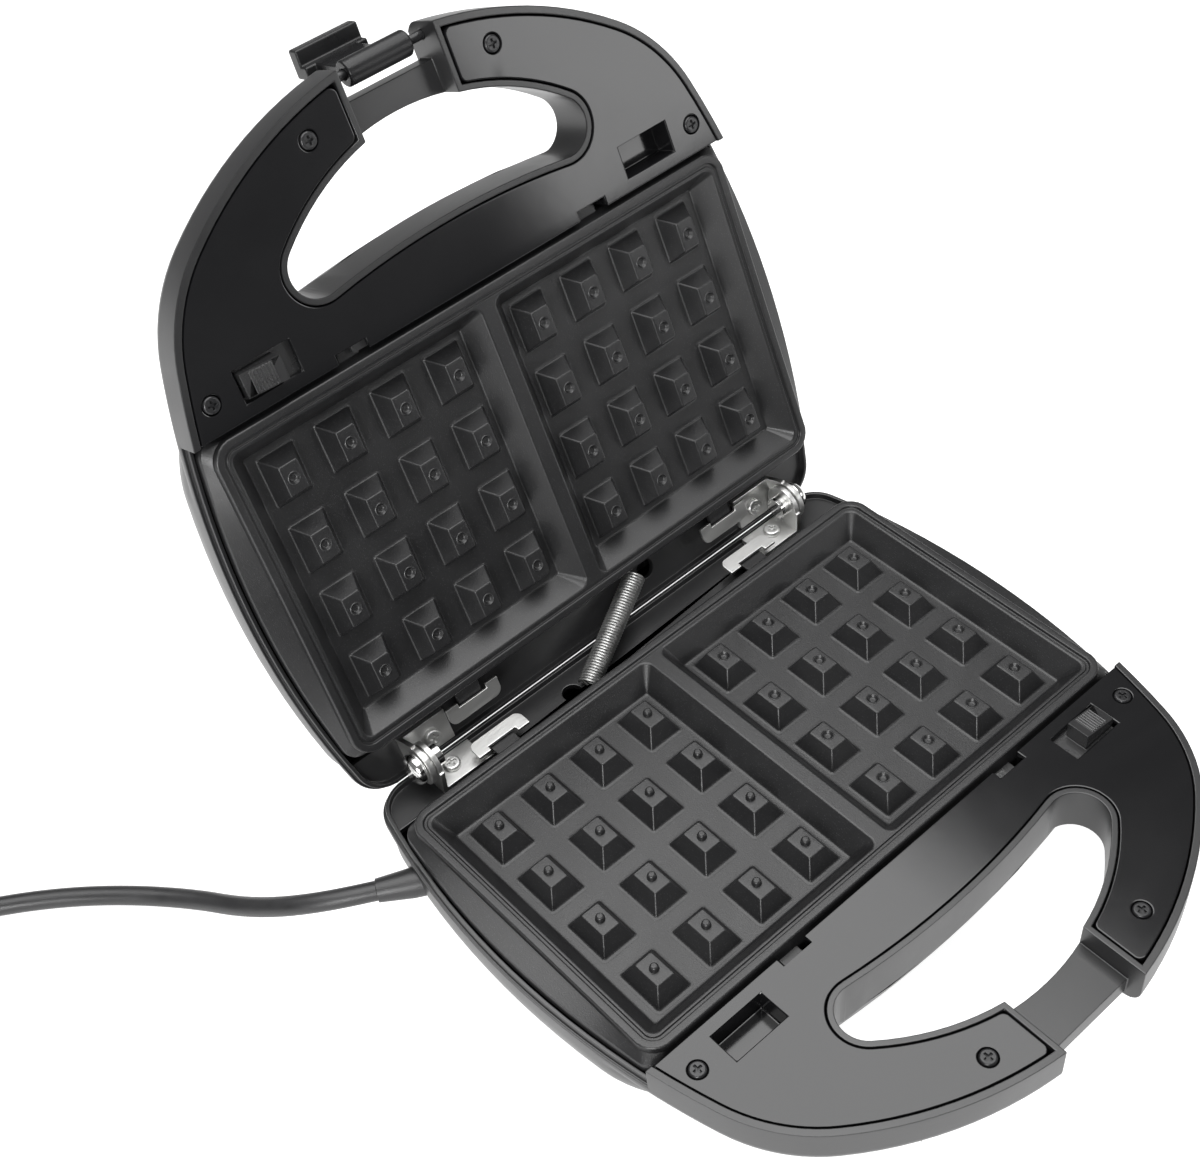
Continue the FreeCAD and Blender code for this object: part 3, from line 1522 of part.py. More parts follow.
def main():
    """Build every node and write one file for each."""
    os.makedirs("parts", exist_ok=True)
    nodes = build()
    origin = origin_of(nodes)
    print("origin in the half's frame", [round(value, 4) for value in origin])
    latch_open = swung_open(Part.Vertex(Vector(0, latch_y, latch_z))).Point
    print("hinge axis", [round(value, 4) for value in axis_point - origin])
    print("latch axis", [round(value, 4) for value in latch_open - origin])
    for name, shape in nodes.items():
        shape.translate(origin * -1)
        if not shape.isValid():
            print("not valid:", name)
        shape.exportStep("parts/" + name + ".step")
        print(name, len(shape.Solids), "solids", round(shape.Volume))


main()
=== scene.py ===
"""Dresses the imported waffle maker: cast plates, gloss shells, hinge gear, steel sleeve and mains lead.

A half is drawn as it lies closed, in millimetres: x to the right, y towards the hinge, z up from the
parting plane. The lid is the same half turned over and swung open. The lead's route is in metres.
"""

import json
import logging
import math
from collections.abc import Iterable, Sequence
from dataclasses import dataclass, field
from enum import Enum
from typing import Any

import bmesh
import bpy
from bmesh.types import BMEdge, BMesh, BMVert
from bpy.types import Material, Mesh, Node, NodeSocket, NodeTree, Object
from mathutils import Matrix, Vector


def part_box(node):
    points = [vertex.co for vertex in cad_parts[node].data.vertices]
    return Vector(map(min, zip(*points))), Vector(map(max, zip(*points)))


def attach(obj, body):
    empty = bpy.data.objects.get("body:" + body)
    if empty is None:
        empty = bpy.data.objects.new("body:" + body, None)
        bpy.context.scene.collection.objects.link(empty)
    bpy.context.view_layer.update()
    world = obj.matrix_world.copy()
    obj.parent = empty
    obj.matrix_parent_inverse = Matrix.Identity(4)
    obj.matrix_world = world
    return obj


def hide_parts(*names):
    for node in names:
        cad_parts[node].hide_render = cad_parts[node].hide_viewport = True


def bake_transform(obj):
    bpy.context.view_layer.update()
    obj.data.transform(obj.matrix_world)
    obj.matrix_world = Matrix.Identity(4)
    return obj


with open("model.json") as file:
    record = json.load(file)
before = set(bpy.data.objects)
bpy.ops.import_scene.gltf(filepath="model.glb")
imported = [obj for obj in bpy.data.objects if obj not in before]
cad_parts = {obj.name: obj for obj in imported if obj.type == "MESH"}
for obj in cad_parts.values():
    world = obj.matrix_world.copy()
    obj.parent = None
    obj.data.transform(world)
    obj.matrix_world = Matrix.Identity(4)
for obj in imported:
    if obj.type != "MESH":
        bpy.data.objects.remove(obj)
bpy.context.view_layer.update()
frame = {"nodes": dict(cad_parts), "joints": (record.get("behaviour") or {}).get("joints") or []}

LOG = logging.getLogger("waffle_maker")
MM = 0.001
HINGE_Y = 75.5
SMOOTH_LIMIT = math.radians(35.0)
SHARP_LIMIT = math.radians(28.0)
MERGE_REACH = 2e-6
TURNED_REACH = 1e-5
FLAT_LIMIT = math.radians(0.15)
PATCH_SPREAD = (0.32, 0.68)
SPECK_REACH = (0.12, 0.34)

Pair = tuple[float, float]
Triple = tuple[float, float, float]


def joint(name: str) -> dict[str, Any]:
    """One joint of the frame, by its name in the record."""
    return next(entry for entry in frame["joints"] if entry["name"] == name)


def hinge_point() -> Vector:
    """Middle of the hinge axis in the frame, in metres."""
    return Vector(joint("lid_hinge")["pos_m"])


def heading(before: Vector, after: Vector) -> Vector:
    """Level direction from one point to another."""
    return Vector((after.x - before.x, after.y - before.y, 0.0)).normalized()


def left_of(direction: Vector) -> Vector:
    """Level direction to the left of another."""
    return Vector((-direction.y, direction.x, 0.0))


def facing(direction: Vector) -> Matrix:
    """Turn that lays the z axis along a direction."""
    return direction.to_track_quat("Z", "Y").to_matrix().to_4x4()


def edges_of(verts: Iterable[BMVert]) -> list[BMEdge]:
    """Every edge at some vertices, once each and in order."""
    return list(dict.fromkeys(edge for vert in verts for edge in vert.link_edges))


class Half(Enum):
    """The two halves, one form drawn once and turned over for the lid."""

    BASE = "base"
    LID = "lid"

    def placement(self) -> Matrix:
        """Matrix from the half's own millimetres to the frame's metres."""
        reach = Matrix.Translation((0.0, -HINGE_Y * MM, 0.0))
        swing = Matrix.Identity(4)
        if self is Half.LID:
            swing = Matrix.Rotation(-math.radians(joint("lid_hinge")["range_deg"][1]), 4, "X")
            reach = reach @ Matrix.Rotation(math.pi, 4, "Y")
        return Matrix.Translation(hinge_point()) @ swing @ reach @ Matrix.Scale(MM, 4)

    def node(self, piece: str) -> str:
        """Name of this half's node for a piece that both halves have."""
        return f"{self.value}_{piece}"


class Wiring:
    """Places and links shader nodes in one node tree."""

    def __init__(self, tree: NodeTree) -> None:
        """Keep the tree."""
        self.tree = tree

    def add(self, kind: str, inputs: dict[Any, Any] | None = None, **settings: Any) -> Node:
        """Place a node, set its properties, and set or link its inputs.

        Args:
            kind: The node's type name.
            inputs: Values or output sockets, by input name or number.
            **settings: Properties of the node.

        Returns:
            The new node.
        """
        node = self.tree.nodes.new(kind)
        for key, value in settings.items():
            setattr(node, key, value)
        for key, value in (inputs or {}).items():
            if isinstance(value, NodeSocket):
                self.tree.links.new(value, node.inputs[key])
            else:
                node.inputs[key].default_value = value
        return node

    def mixed(self, factor: Any, first: Any, second: Any) -> NodeSocket:
        """Mix two colours by the share of the second."""
        node = self.add("ShaderNodeMix", {0: factor, 6: first, 7: second}, data_type="RGBA")
        return node.outputs[2]

    def mapped(self, value: Any, low: Any, high: Any, start: float = 0.0, end: float = 1.0) -> NodeSocket:
        """Map a value from the range of start and end to that of low and high."""
        inputs = {"Value": value, "From Min": start, "From Max": end, "To Min": low, "To Max": high}
        return self.add("ShaderNodeMapRange", inputs).outputs["Result"]

    def combined(self, operation: str, first: Any, second: Any) -> NodeSocket:
        """Combine two values by an operation of the math node."""
        return self.add("ShaderNodeMath", {0: first, 1: second}, operation=operation).outputs[0]


class Effect(Enum):
    """Surface effects that several finishes share, each one a node group."""

    PATCHES = "surface_patches"
    GRAIN = "surface_grain"
    SPECKS = "surface_specks"

    def group(self) -> NodeTree:
        """The effect's node group, built the first time it is asked for."""
        found = bpy.data.node_groups.get(self.value)
        if found is not None:
            return found
        tree = bpy.data.node_groups.new(self.value, "ShaderNodeTree")
        tree.interface.new_socket("Vector", in_out="INPUT", socket_type="NodeSocketVector")
        tree.interface.new_socket("Scale", in_out="INPUT", socket_type="NodeSocketFloat")
        tree.interface.new_socket("Amount", in_out="INPUT", socket_type="NodeSocketFloat")
        tree.interface.new_socket("Value", in_out="OUTPUT", socket_type="NodeSocketFloat")
        wiring = Wiring(tree)
        source = wiring.add("NodeGroupInput").outputs
        place = {"Vector": source["Vector"], "Scale": source["Scale"]}
        wiring.add("NodeGroupOutput", {"Value": self._value(wiring, place, source["Amount"])})
        return tree

    def _value(self, wiring: Wiring, place: dict[str, Any], amount: NodeSocket) -> NodeSocket:
        """Wire soft patches from 0 to 1, the height of a fine grain, or a mask of scattered specks.

        Args:
            wiring: The group's wiring.
            place: The group's coordinates and scale.
            amount: Strength, or share of the specks that are kept.

        Returns:
            The value socket.
        """
        if self is Effect.PATCHES:
            uneven = {"Detail": 6.0, "Roughness": 0.6, "Distortion": 0.6}
            noise = wiring.add("ShaderNodeTexNoise", {**place, **uneven})
            spread = wiring.mapped(noise.outputs["Fac"], 0.0, 1.0, *PATCH_SPREAD)
            return wiring.combined("MULTIPLY", spread, amount)
        if self is Effect.GRAIN:
            fine = wiring.add("ShaderNodeTexNoise", {**place, "Detail": 3.0, "Roughness": 0.55})
            cells = wiring.add("ShaderNodeTexVoronoi", place, feature="SMOOTH_F1")
            both = wiring.combined("ADD", fine.outputs["Fac"], cells.outputs["Distance"])
            return wiring.combined("MULTIPLY", both, amount)
        cells = wiring.add("ShaderNodeTexVoronoi", place, feature="F1")
        dots = wiring.mapped(cells.outputs["Distance"], 1.0, 0.0, *SPECK_REACH)
        chance = wiring.add("ShaderNodeSeparateColor", {0: cells.outputs["Color"]}).outputs[0]
        return wiring.combined("MULTIPLY", dots, wiring.combined("LESS_THAN", chance, amount))


@dataclass(frozen=True)
class Finish:
    """A procedural finish: two tones in patches, uneven gloss, grain in relief, and specks.

    Scales are repeats per metre of the object, and depths are metres.
    """

    name: str
    slot: str
    colour: Triple
    tone: Triple
    gloss: Pair
    patch_scale: float = 14.0
    grain_scale: float = 1800.0
    grain_depth: float = 0.00003
    metallic: float = 0.0
    stretch: Triple = (1.0, 1.0, 1.0)
    speck_colour: Triple = (0.2, 0.2, 0.2)
    speck_scale: float = 900.0
    speck_share: float = 0.0
    specular: float = 0.5
    transmission: float = 0.0

    def material(self) -> Material:
        """The finish as a material, built the first time it is asked for."""
        found = bpy.data.materials.get(self.name)
        if found is not None:
            return found
        material = bpy.data.materials.new(self.name)
        material.use_nodes = True
        material.node_tree.nodes.clear()
        wiring = Wiring(material.node_tree)
        shader = wiring.add("ShaderNodeBsdfPrincipled", {
            "Metallic": self.metallic,
            "Specular IOR Level": self.specular,
            "Transmission Weight": self.transmission,
            **self._surface(wiring),
        })
        wiring.add("ShaderNodeOutputMaterial", {"Surface": shader.outputs["BSDF"]})
        material.diffuse_color = (*self.colour, 1.0)
        return material

    def _surface(self, wiring: Wiring) -> dict[str, NodeSocket]:
        """Wire what changes over the surface.

        Args:
            wiring: The material's wiring.

        Returns:
            The sockets for colour, gloss and relief, by the shader's inputs.
        """
        place = wiring.add("ShaderNodeTexCoord").outputs["Object"]
        mapping = wiring.add("ShaderNodeMapping", {"Vector": place, "Scale": self.stretch})
        stretched = mapping.outputs["Vector"]
        patches = self._effect(wiring, Effect.PATCHES, stretched, self.patch_scale, 1.0)
        colour = wiring.mixed(patches, (*self.colour, 1.0), (*self.tone, 1.0))
        if self.speck_share > 0.0:
            specks = self._effect(wiring, Effect.SPECKS, place, self.speck_scale, self.speck_share)
            colour = wiring.mixed(specks, colour, (*self.speck_colour, 1.0))
        gloss = wiring.mapped(patches, self.gloss[0], self.gloss[1])
        grain = self._effect(wiring, Effect.GRAIN, stretched, self.grain_scale, 1.0)
        bump = wiring.add("ShaderNodeBump", {"Strength": 1.0, "Distance": self.grain_depth, "Height": grain})
        return {"Base Color": colour, "Roughness": gloss, "Normal": bump.outputs["Normal"]}

    @staticmethod
    def _effect(wiring: Wiring, effect: Effect, place: NodeSocket, scale: float,
                amount: float) -> NodeSocket:
        """Place a shared effect at a scale in repeats per metre, and give its value."""
        inputs = {"Vector": place, "Scale": scale, "Amount": amount}
        return wiring.add("ShaderNodeGroup", inputs, node_tree=effect.group()).outputs["Value"]


SHELL_GLOSS = Finish("gloss_black_moulding", "gloss_black_shell", (0.0075, 0.0075, 0.008),
                     (0.011, 0.011, 0.0115), (0.30, 0.40), grain_scale=900.0, grain_depth=0.000006,
                     specular=0.65)
COVER_GLOSS = Finish("gloss_black_cover_plate", "gloss_black_cover", (0.004, 0.004, 0.0045),
                     (0.006, 0.006, 0.0065), (0.10, 0.16), grain_scale=260.0, grain_depth=0.000003)
PLATE_COATING = Finish("nonstick_coating", "nonstick_plate", (0.009, 0.009, 0.0095), (0.013, 0.013, 0.0135),
                       (0.34, 0.42), patch_scale=22.0, grain_scale=2600.0, grain_depth=0.00003,
                       speck_colour=(0.05, 0.05, 0.052), speck_scale=2200.0, speck_share=0.22)
ZINC = Finish("bright_zinc_sheet", "zinc_steel", (0.52, 0.52, 0.51), (0.66, 0.66, 0.65), (0.32, 0.46),
              patch_scale=60.0, grain_scale=900.0, grain_depth=0.00002, metallic=1.0,
              stretch=(0.25, 1.0, 1.0))
RIVET_STEEL = Finish("polished_rivet_steel", "zinc_steel", (0.62, 0.62, 0.61), (0.72, 0.72, 0.71),
                     (0.12, 0.2), patch_scale=90.0, grain_scale=1200.0, grain_depth=0.00001, metallic=1.0)
SPRING_STEEL = Finish("drawn_spring_wire", "spring_steel", (0.55, 0.55, 0.54), (0.68, 0.68, 0.67),
                      (0.3, 0.42), patch_scale=160.0, grain_scale=2200.0, grain_depth=0.00001, metallic=1.0)
SCREW_BLACK = Finish("blackened_screw_steel", "black_screw", (0.012, 0.012, 0.013), (0.022, 0.022, 0.023),
                     (0.24, 0.36), patch_scale=220.0, grain_scale=2400.0, grain_depth=0.00002, metallic=0.3)
SLIDER_BLACK = Finish("satin_slider_plastic", "satin_black_plastic", (0.014, 0.014, 0.0145),
                      (0.02, 0.02, 0.0205), (0.22, 0.34), patch_scale=40.0, grain_scale=2200.0,
                      grain_depth=0.00003, specular=0.7)
LATCH_BLACK = Finish("satin_latch_plastic", "satin_black_plastic", (0.007, 0.007, 0.0075),
                     (0.011, 0.011, 0.0115), (0.24, 0.36), patch_scale=40.0, grain_scale=2200.0,
                     grain_depth=0.00003, specular=0.3)
FOOT_RUBBER = Finish("foot_rubber", "foot_rubber", (0.018, 0.018, 0.018), (0.030, 0.030, 0.029),
                     (0.62, 0.8), patch_scale=90.0, grain_scale=1600.0, grain_depth=0.00008)
CORD_SHEATH = Finish("lead_sheath", "cord_black", (0.012, 0.012, 0.0125), (0.020, 0.020, 0.021),
                     (0.34, 0.48), patch_scale=50.0, grain_scale=2400.0, grain_depth=0.00004)
TIE_PLASTIC = Finish("tie_strap", "tie_plastic", (0.020, 0.020, 0.020), (0.034, 0.034, 0.034), (0.5, 0.66),
                     patch_scale=120.0, grain_scale=1800.0, grain_depth=0.00006)
BRASS = Finish("blade_brass", "blade_brass", (0.66, 0.53, 0.29), (0.76, 0.64, 0.38), (0.2, 0.32),
               patch_scale=140.0, grain_scale=1500.0, grain_depth=0.00001, metallic=1.0)
RED_LENS = Finish("red_lens", "lens_red", (0.55, 0.02, 0.012), (0.62, 0.03, 0.02), (0.06, 0.12),
                  patch_scale=200.0, grain_scale=800.0, grain_depth=0.00001, transmission=0.6)
LAMP_GLASS = Finish("lamp_glass", "lamp_glass", (0.9, 0.72, 0.52), (0.95, 0.8, 0.62), (0.03, 0.08),
                    patch_scale=200.0, grain_scale=800.0, grain_depth=0.000005, transmission=0.9)
REFLECTOR = Finish("reflector_sheet", "reflector_aluminium", (0.66, 0.66, 0.67), (0.78, 0.78, 0.79),
                   (0.2, 0.34), patch_scale=40.0, grain_scale=700.0, grain_depth=0.00003, metallic=1.0,
                   stretch=(0.2, 1.0, 1.0))
ELEMENT_SHEATH = Finish("element_sheath", "element_steel", (0.24, 0.22, 0.20), (0.36, 0.34, 0.32),
                        (0.4, 0.55), patch_scale=60.0, grain_scale=1200.0, grain_depth=0.00003,
                        metallic=1.0)
HEAT_PLASTIC = Finish("heat_proof_plastic", "heat_plastic", (0.030, 0.029, 0.028), (0.050, 0.049, 0.047),
                      (0.5, 0.65), patch_scale=120.0, grain_scale=1500.0, grain_depth=0.00005)


class Workpiece:
    """A mesh on the bench: shaped with operators, then finished as an object of the scene."""

    def __init__(self, name: str) -> None:
        """Start with an empty mesh."""
        self.name = name
        self.bm: BMesh = bmesh.new()

    @classmethod
    def copy_of(cls, node: str) -> "Workpiece":
        """Start from a merged copy of a node, with its flat faces joined.

        Args:
            node: The node's name.

        Returns:
            The workpiece, in the frame's metres.
        """
        piece = cls(f"{node}_dressed")
        bm = piece.bm
        bm.from_mesh(frame["nodes"][node].data)
        bmesh.ops.remove_doubles(bm, verts=bm.verts, dist=MERGE_REACH)
        bmesh.ops.dissolve_limit(bm, angle_limit=FLAT_LIMIT, verts=bm.verts, edges=bm.edges,
                                 use_dissolve_boundaries=False)
        return piece

    def ring(self, half_x: float, half_y: float, radius: float, z: float,
             centre: Pair = (0.0, 0.0), steps: int = 4, side_cuts: int = 0) -> list[BMEdge]:
        """Draw a level ring, a rounded rectangle.

        Args:
            half_x: Half of the width.
            half_y: Half of the depth.
            radius: Corner radius.
            z: Height.
            centre: Middle of the ring.
            steps: Edges on each corner, counting one side's half.
            side_cuts: Cuts in the left and right sides.

        Returns:
            The ring's edges.
        """
        bm = self.bm
        half_step = math.pi / (4 * steps)
        place = Matrix.Translation((0.0, 0.0, z)) @ Matrix.Rotation(half_step, 4, "Z")
        reach = radius / math.cos(half_step)
        verts = bmesh.ops.create_circle(bm, segments=4 * steps, radius=reach, matrix=place)["verts"]
        corners = [(math.copysign(1, vert.co.x), math.copysign(1, vert.co.y)) for vert in verts]
        for vert, (to_x, to_y) in zip(verts, corners):
            shift = (centre[0] + to_x * (half_x - radius), centre[1] + to_y * (half_y - radius), 0.0)
            bmesh.ops.translate(bm, verts=[vert], vec=shift)
        edges = edges_of(verts)
        if side_cuts:
            sides = [edge for edge in edges
                     if (edge.verts[0].co.y - centre[1]) * (edge.verts[1].co.y - centre[1]) < 0]
            for side in sides:
                start = side.verts[0]
                for left in range(side_cuts, 0, -1):
                    start = bmesh.utils.edge_split(side, start, 1.0 / (left + 1))[1]
                    verts.append(start)
            edges = edges_of(verts)
        return edges

    def circle(self, radius: float, z: float, steps: int = 4) -> list[BMEdge]:
        """Draw a level circle about the z axis, with four times as many edges as steps."""
        return self.ring(radius, radius, radius, z, steps=steps)

    def skin(self, *rings: list[BMEdge]) -> None:
        """Bridge each ring to the next."""
        for lower, upper in zip(rings, rings[1:]):
            bmesh.ops.bridge_loops(self.bm, edges=lower + upper)

    def cap(self, ring: list[BMEdge]) -> None:
        """Close a ring with one face."""
        bmesh.ops.edgeloop_fill(self.bm, edges=ring)

    def block(self, spans: Sequence[Pair], width: float) -> None:
        """Add a block with rounded edges.

        Args:
            spans: Its ends along x, y and z.
            width: Width of the rounding.
        """
        middle = [(low + high) / 2 for low, high in spans]
        size = [high - low for low, high in spans]
        place = Matrix.Translation(middle) @ Matrix.Diagonal((*size, 1.0))
        verts = bmesh.ops.create_cube(self.bm, size=1.0, matrix=place)["verts"]
        self.round(edges_of(verts), width)

    def round(self, edges: Sequence[BMEdge], width: float, segments: int = 2) -> None:
        """Round edges by bevelling them, in a width and a number of steps."""
        bmesh.ops.bevel(self.bm, geom=list(edges), offset=width, offset_type="OFFSET", segments=segments,
                        profile=0.5, affect="EDGES", material=-1, clamp_overlap=False, loop_slide=True)

    def round_sharp(self, width: float, segments: int = 2) -> None:
        """Round every sharp edge.

        Args:
            width: Offset of the bevel.
            segments: Steps across it.
        """
        sharp = [edge for edge in self.bm.edges
                 if len(edge.link_faces) == 2 and edge.calc_face_angle(0.0) > SHARP_LIMIT]
        self.round(sharp, width, segments)

    def mesh(self) -> Mesh:
        """The workpiece as a mesh, for setting into another one."""
        mesh = bpy.data.meshes.new(self.name)
        self.bm.to_mesh(mesh)
        self.bm.free()
        return mesh

    def set_copies(self, mesh: Mesh, places: Iterable[Sequence[float]]) -> None:
        """Set copies of a mesh into the workpiece, and put the mesh away.

        Args:
            mesh: The mesh.
            places: Where its copies go.
        """
        for place in places:
            before = len(self.bm.verts)
            self.bm.from_mesh(mesh)
            self.bm.verts.ensure_lookup_table()
            bmesh.ops.transform(self.bm, matrix=Matrix.Translation(place), verts=self.bm.verts[before:])
        bpy.data.meshes.remove(mesh)

    def finish(self, finish: Finish, body: str | None, replaces: Sequence[str] = (),
               placement: Matrix | None = None, outward: bool = True) -> Object:
        """Make the object: place, smooth, material, body and the nodes that it stands for.

        Args:
            finish: The finish.
            body: The body it rides on, or None to leave it on none.
            replaces: Nodes that it stands for.
            placement: Matrix from its own frame to the scene.
            outward: Turn the faces outwards.

        Returns:
            The object.
        """
        bm = self.bm
        if placement is not None:
            bmesh.ops.transform(bm, matrix=placement, verts=bm.verts)
        if outward:
            bmesh.ops.recalc_face_normals(bm, faces=bm.faces)
        for face in bm.faces:
            face.smooth = True
        for edge in bm.edges:
            if len(edge.link_faces) == 2:
                edge.smooth = edge.calc_face_angle(0.0) < SMOOTH_LIMIT
        triangles = sum(len(face.verts) - 2 for face in bm.faces)
        obj = bpy.data.objects.new(self.name, self.mesh())
        bpy.context.scene.collection.objects.link(obj)
        obj.data.materials.append(finish.material())
        even = obj.modifiers.new("even_normals", "WEIGHTED_NORMAL")
        even.keep_sharp = True
        if body is not None:
            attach(obj, body)
        if replaces:
            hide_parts(*replaces)
        LOG.info("%s: %d triangles on %s", self.name, triangles, body or "two bodies")
        return obj


def rounded_profile(corners: Sequence[Triple], steps: int = 3) -> list[Pair]:
    """Round the corners of a profile.

    Args:
        corners: Offset and height of each corner, and how far its rounding reaches along both sides.
        steps: Steps of each rounding.

    Returns:
        Offset and height of each point.
    """
    points = [Vector(corners[0][:2])]
    for before, here, after in zip(corners, corners[1:], corners[2:]):
        corner = Vector(here[:2])
        reach = here[2]
        back = (Vector(before[:2]) - corner).normalized()
        ahead = (Vector(after[:2]) - corner).normalized()
        half = back.angle(ahead) / 2
        centre = corner + (back + ahead).normalized() * (reach / math.cos(half))
        arm = corner + back * reach - centre
        sweep = arm.angle_signed(corner + ahead * reach - centre)
        for step in range(steps + 1):
            points.append(centre + Matrix.Rotation(-sweep * step / steps, 2) @ arm)
    points.append(Vector(corners[-1][:2]))
    return [(point.x, point.y) for point in points]


def dressed_copy(node: str, body: str, finish: Finish, width: float, segments: int = 2) -> Object:
    """Replace a node by a copy of it with rounded edges.

    Args:
        node: The node.
        body: The body it rides on.
        finish: Its finish.
        width: Width of the rounding in millimetres.
        segments: Steps of the rounding.

    Returns:
        The new object.
    """
    piece = Workpiece.copy_of(node)
    piece.round_sharp(width * MM, segments)
    return piece.finish(finish, body, [node], outward=False)


def dress_node(node: str, finish: Finish) -> None:
    """Give a node that stays as it is its finish.

    Args:
        node: The node.
        finish: Its finish.
    """
    obj = frame["nodes"][node]
    if not obj.material_slots:
        obj.data.materials.append(finish.material())
    for slot in obj.material_slots:
        slot.material = finish.material()
    LOG.info("%s keeps its shape, in %s", node, finish.name)


@dataclass(frozen=True)
class Softbox:
    """An area light: its place, width and height, and power."""

    name: str
    place: Triple
    size: Pair
    watts: float
    aim: Triple | None = None

    def build(self) -> None:
        """Hang the box, straight down or turned to what it aims at."""
        data = bpy.data.lights.new(self.name, "AREA")
        data.shape = "RECTANGLE"
        data.size, data.size_y = self.size
        data.energy = self.watts
        light = bpy.data.objects.new(self.name, data)
        light.location = self.place
        if self.aim is not None:
            ray = Vector(self.aim) - Vector(self.place)
            light.rotation_euler = ray.to_track_quat("-Z", "Y").to_euler()
        bpy.context.scene.collection.objects.link(light)


AIM = (0.0, 0.05, 0.08)
SOFTBOXES = (
    Softbox("overhead_box", (-0.02, 0.2, 1.05), (1.2, 1.2), 21.0),
    Softbox("right_box", (0.86, -0.9, 0.46), (0.5, 0.52), 3.6, AIM),
    Softbox("left_box", (-0.95, -0.72, 0.52), (0.55, 0.45), 14.0, AIM),
)


@dataclass
class Studio:
    """Camera, floor and soft light of a studio shot on white."""

    lens_mm: float = 55.377
    sensor_mm: float = 36.0
    right: Triple = (0.744528, -0.663097, -0.077332)
    up: Triple = (0.526272, 0.511701, 0.679117)
    back: Triple = (-0.410749, -0.546320, 0.729945)
    camera_from_hinge: Triple = (-0.271437, -0.3549598, 0.501603)
    floor_half: float = 1.8
    floor_white: Triple = (0.4, 0.4, 0.4)
    floor_roughness: float = 0.8
    floor_specular: float = 0.1
    floor_glow: float = 0.93
    surround: float = 0.22
    flag_place: Triple = (0.22, -0.34, 0.095)
    flag_size: Pair = (1.1, 0.19)
    flag_black: Triple = (0.004, 0.004, 0.004)

    def build(self) -> None:
        """Set up camera, floor, surround, flag and lights."""
        self._camera()
        self._floor()
        self._surround()
        self._flag()
        for box in SOFTBOXES:
            box.build()
        bpy.context.scene.view_settings.view_transform = "Standard"

    def _camera(self) -> None:
        """Camera at the reference picture's viewing angle."""
        data = bpy.data.cameras.new("camera")
        data.lens = self.lens_mm
        data.sensor_width = self.sensor_mm
        data.sensor_fit = "HORIZONTAL"
        camera = bpy.data.objects.new("camera", data)
        turn = Matrix((self.right, self.up, self.back)).transposed().to_4x4()
        camera.matrix_world = Matrix.Translation(hinge_point() + Vector(self.camera_from_hinge)) @ turn
        bpy.context.scene.collection.objects.link(camera)
        bpy.context.scene.camera = camera

    @staticmethod
    def _sheet(name: str, size: float, place: Matrix) -> tuple[Object, Node]:
        """Set up a flat sheet of the stage.

        Args:
            name: Its name.
            size: Half of its side before it is placed.
            place: Its place.

        Returns:
            The sheet and its shader.
        """
        work = Workpiece(name)
        bmesh.ops.create_grid(work.bm, x_segments=1, y_segments=1, size=size, matrix=place)
        sheet = bpy.data.objects.new(name, work.mesh())
        bpy.context.scene.collection.objects.link(sheet)
        material = bpy.data.materials.new(f"{name}_sheet")
        material.use_nodes = True
        sheet.data.materials.append(material)
        return sheet, material.node_tree.nodes["Principled BSDF"]

    def _floor(self) -> None:
        """Plain white floor that glows, so that shadows stay faint."""
        shader = self._sheet("floor", self.floor_half, Matrix.Identity(4))[1]
        shader.inputs["Base Color"].default_value = (*self.floor_white, 1.0)
        shader.inputs["Roughness"].default_value = self.floor_roughness
        shader.inputs["Specular IOR Level"].default_value = self.floor_specular
        shader.inputs["Emission Color"].default_value = (1.0, 1.0, 1.0, 1.0)
        shader.inputs["Emission Strength"].default_value = self.floor_glow

    def _flag(self) -> None:
        """Dark card before the object that only shows in its gloss."""
        place = Matrix.Translation(self.flag_place) @ Matrix.Rotation(math.pi / 2, 4, "X")
        spread = Matrix.Diagonal((*self.flag_size, 1.0, 1.0))
        flag, shader = self._sheet("dark_flag", 0.5, place @ spread)
        flag.visible_camera = False
        flag.visible_diffuse = False
        flag.visible_shadow = False
        shader.inputs["Base Color"].default_value = (*self.flag_black, 1.0)
        shader.inputs["Specular IOR Level"].default_value = 0.0

    def _surround(self) -> None:
        """Dim even surround, so that gloss stays black where no box shows in it."""
        world = bpy.data.worlds.new("studio")
        world.use_nodes = True
        background = world.node_tree.nodes["Background"]
        background.inputs["Color"].default_value = (1.0, 1.0, 1.0, 1.0)
        background.inputs["Strength"].default_value = self.surround
        bpy.context.scene.world = world


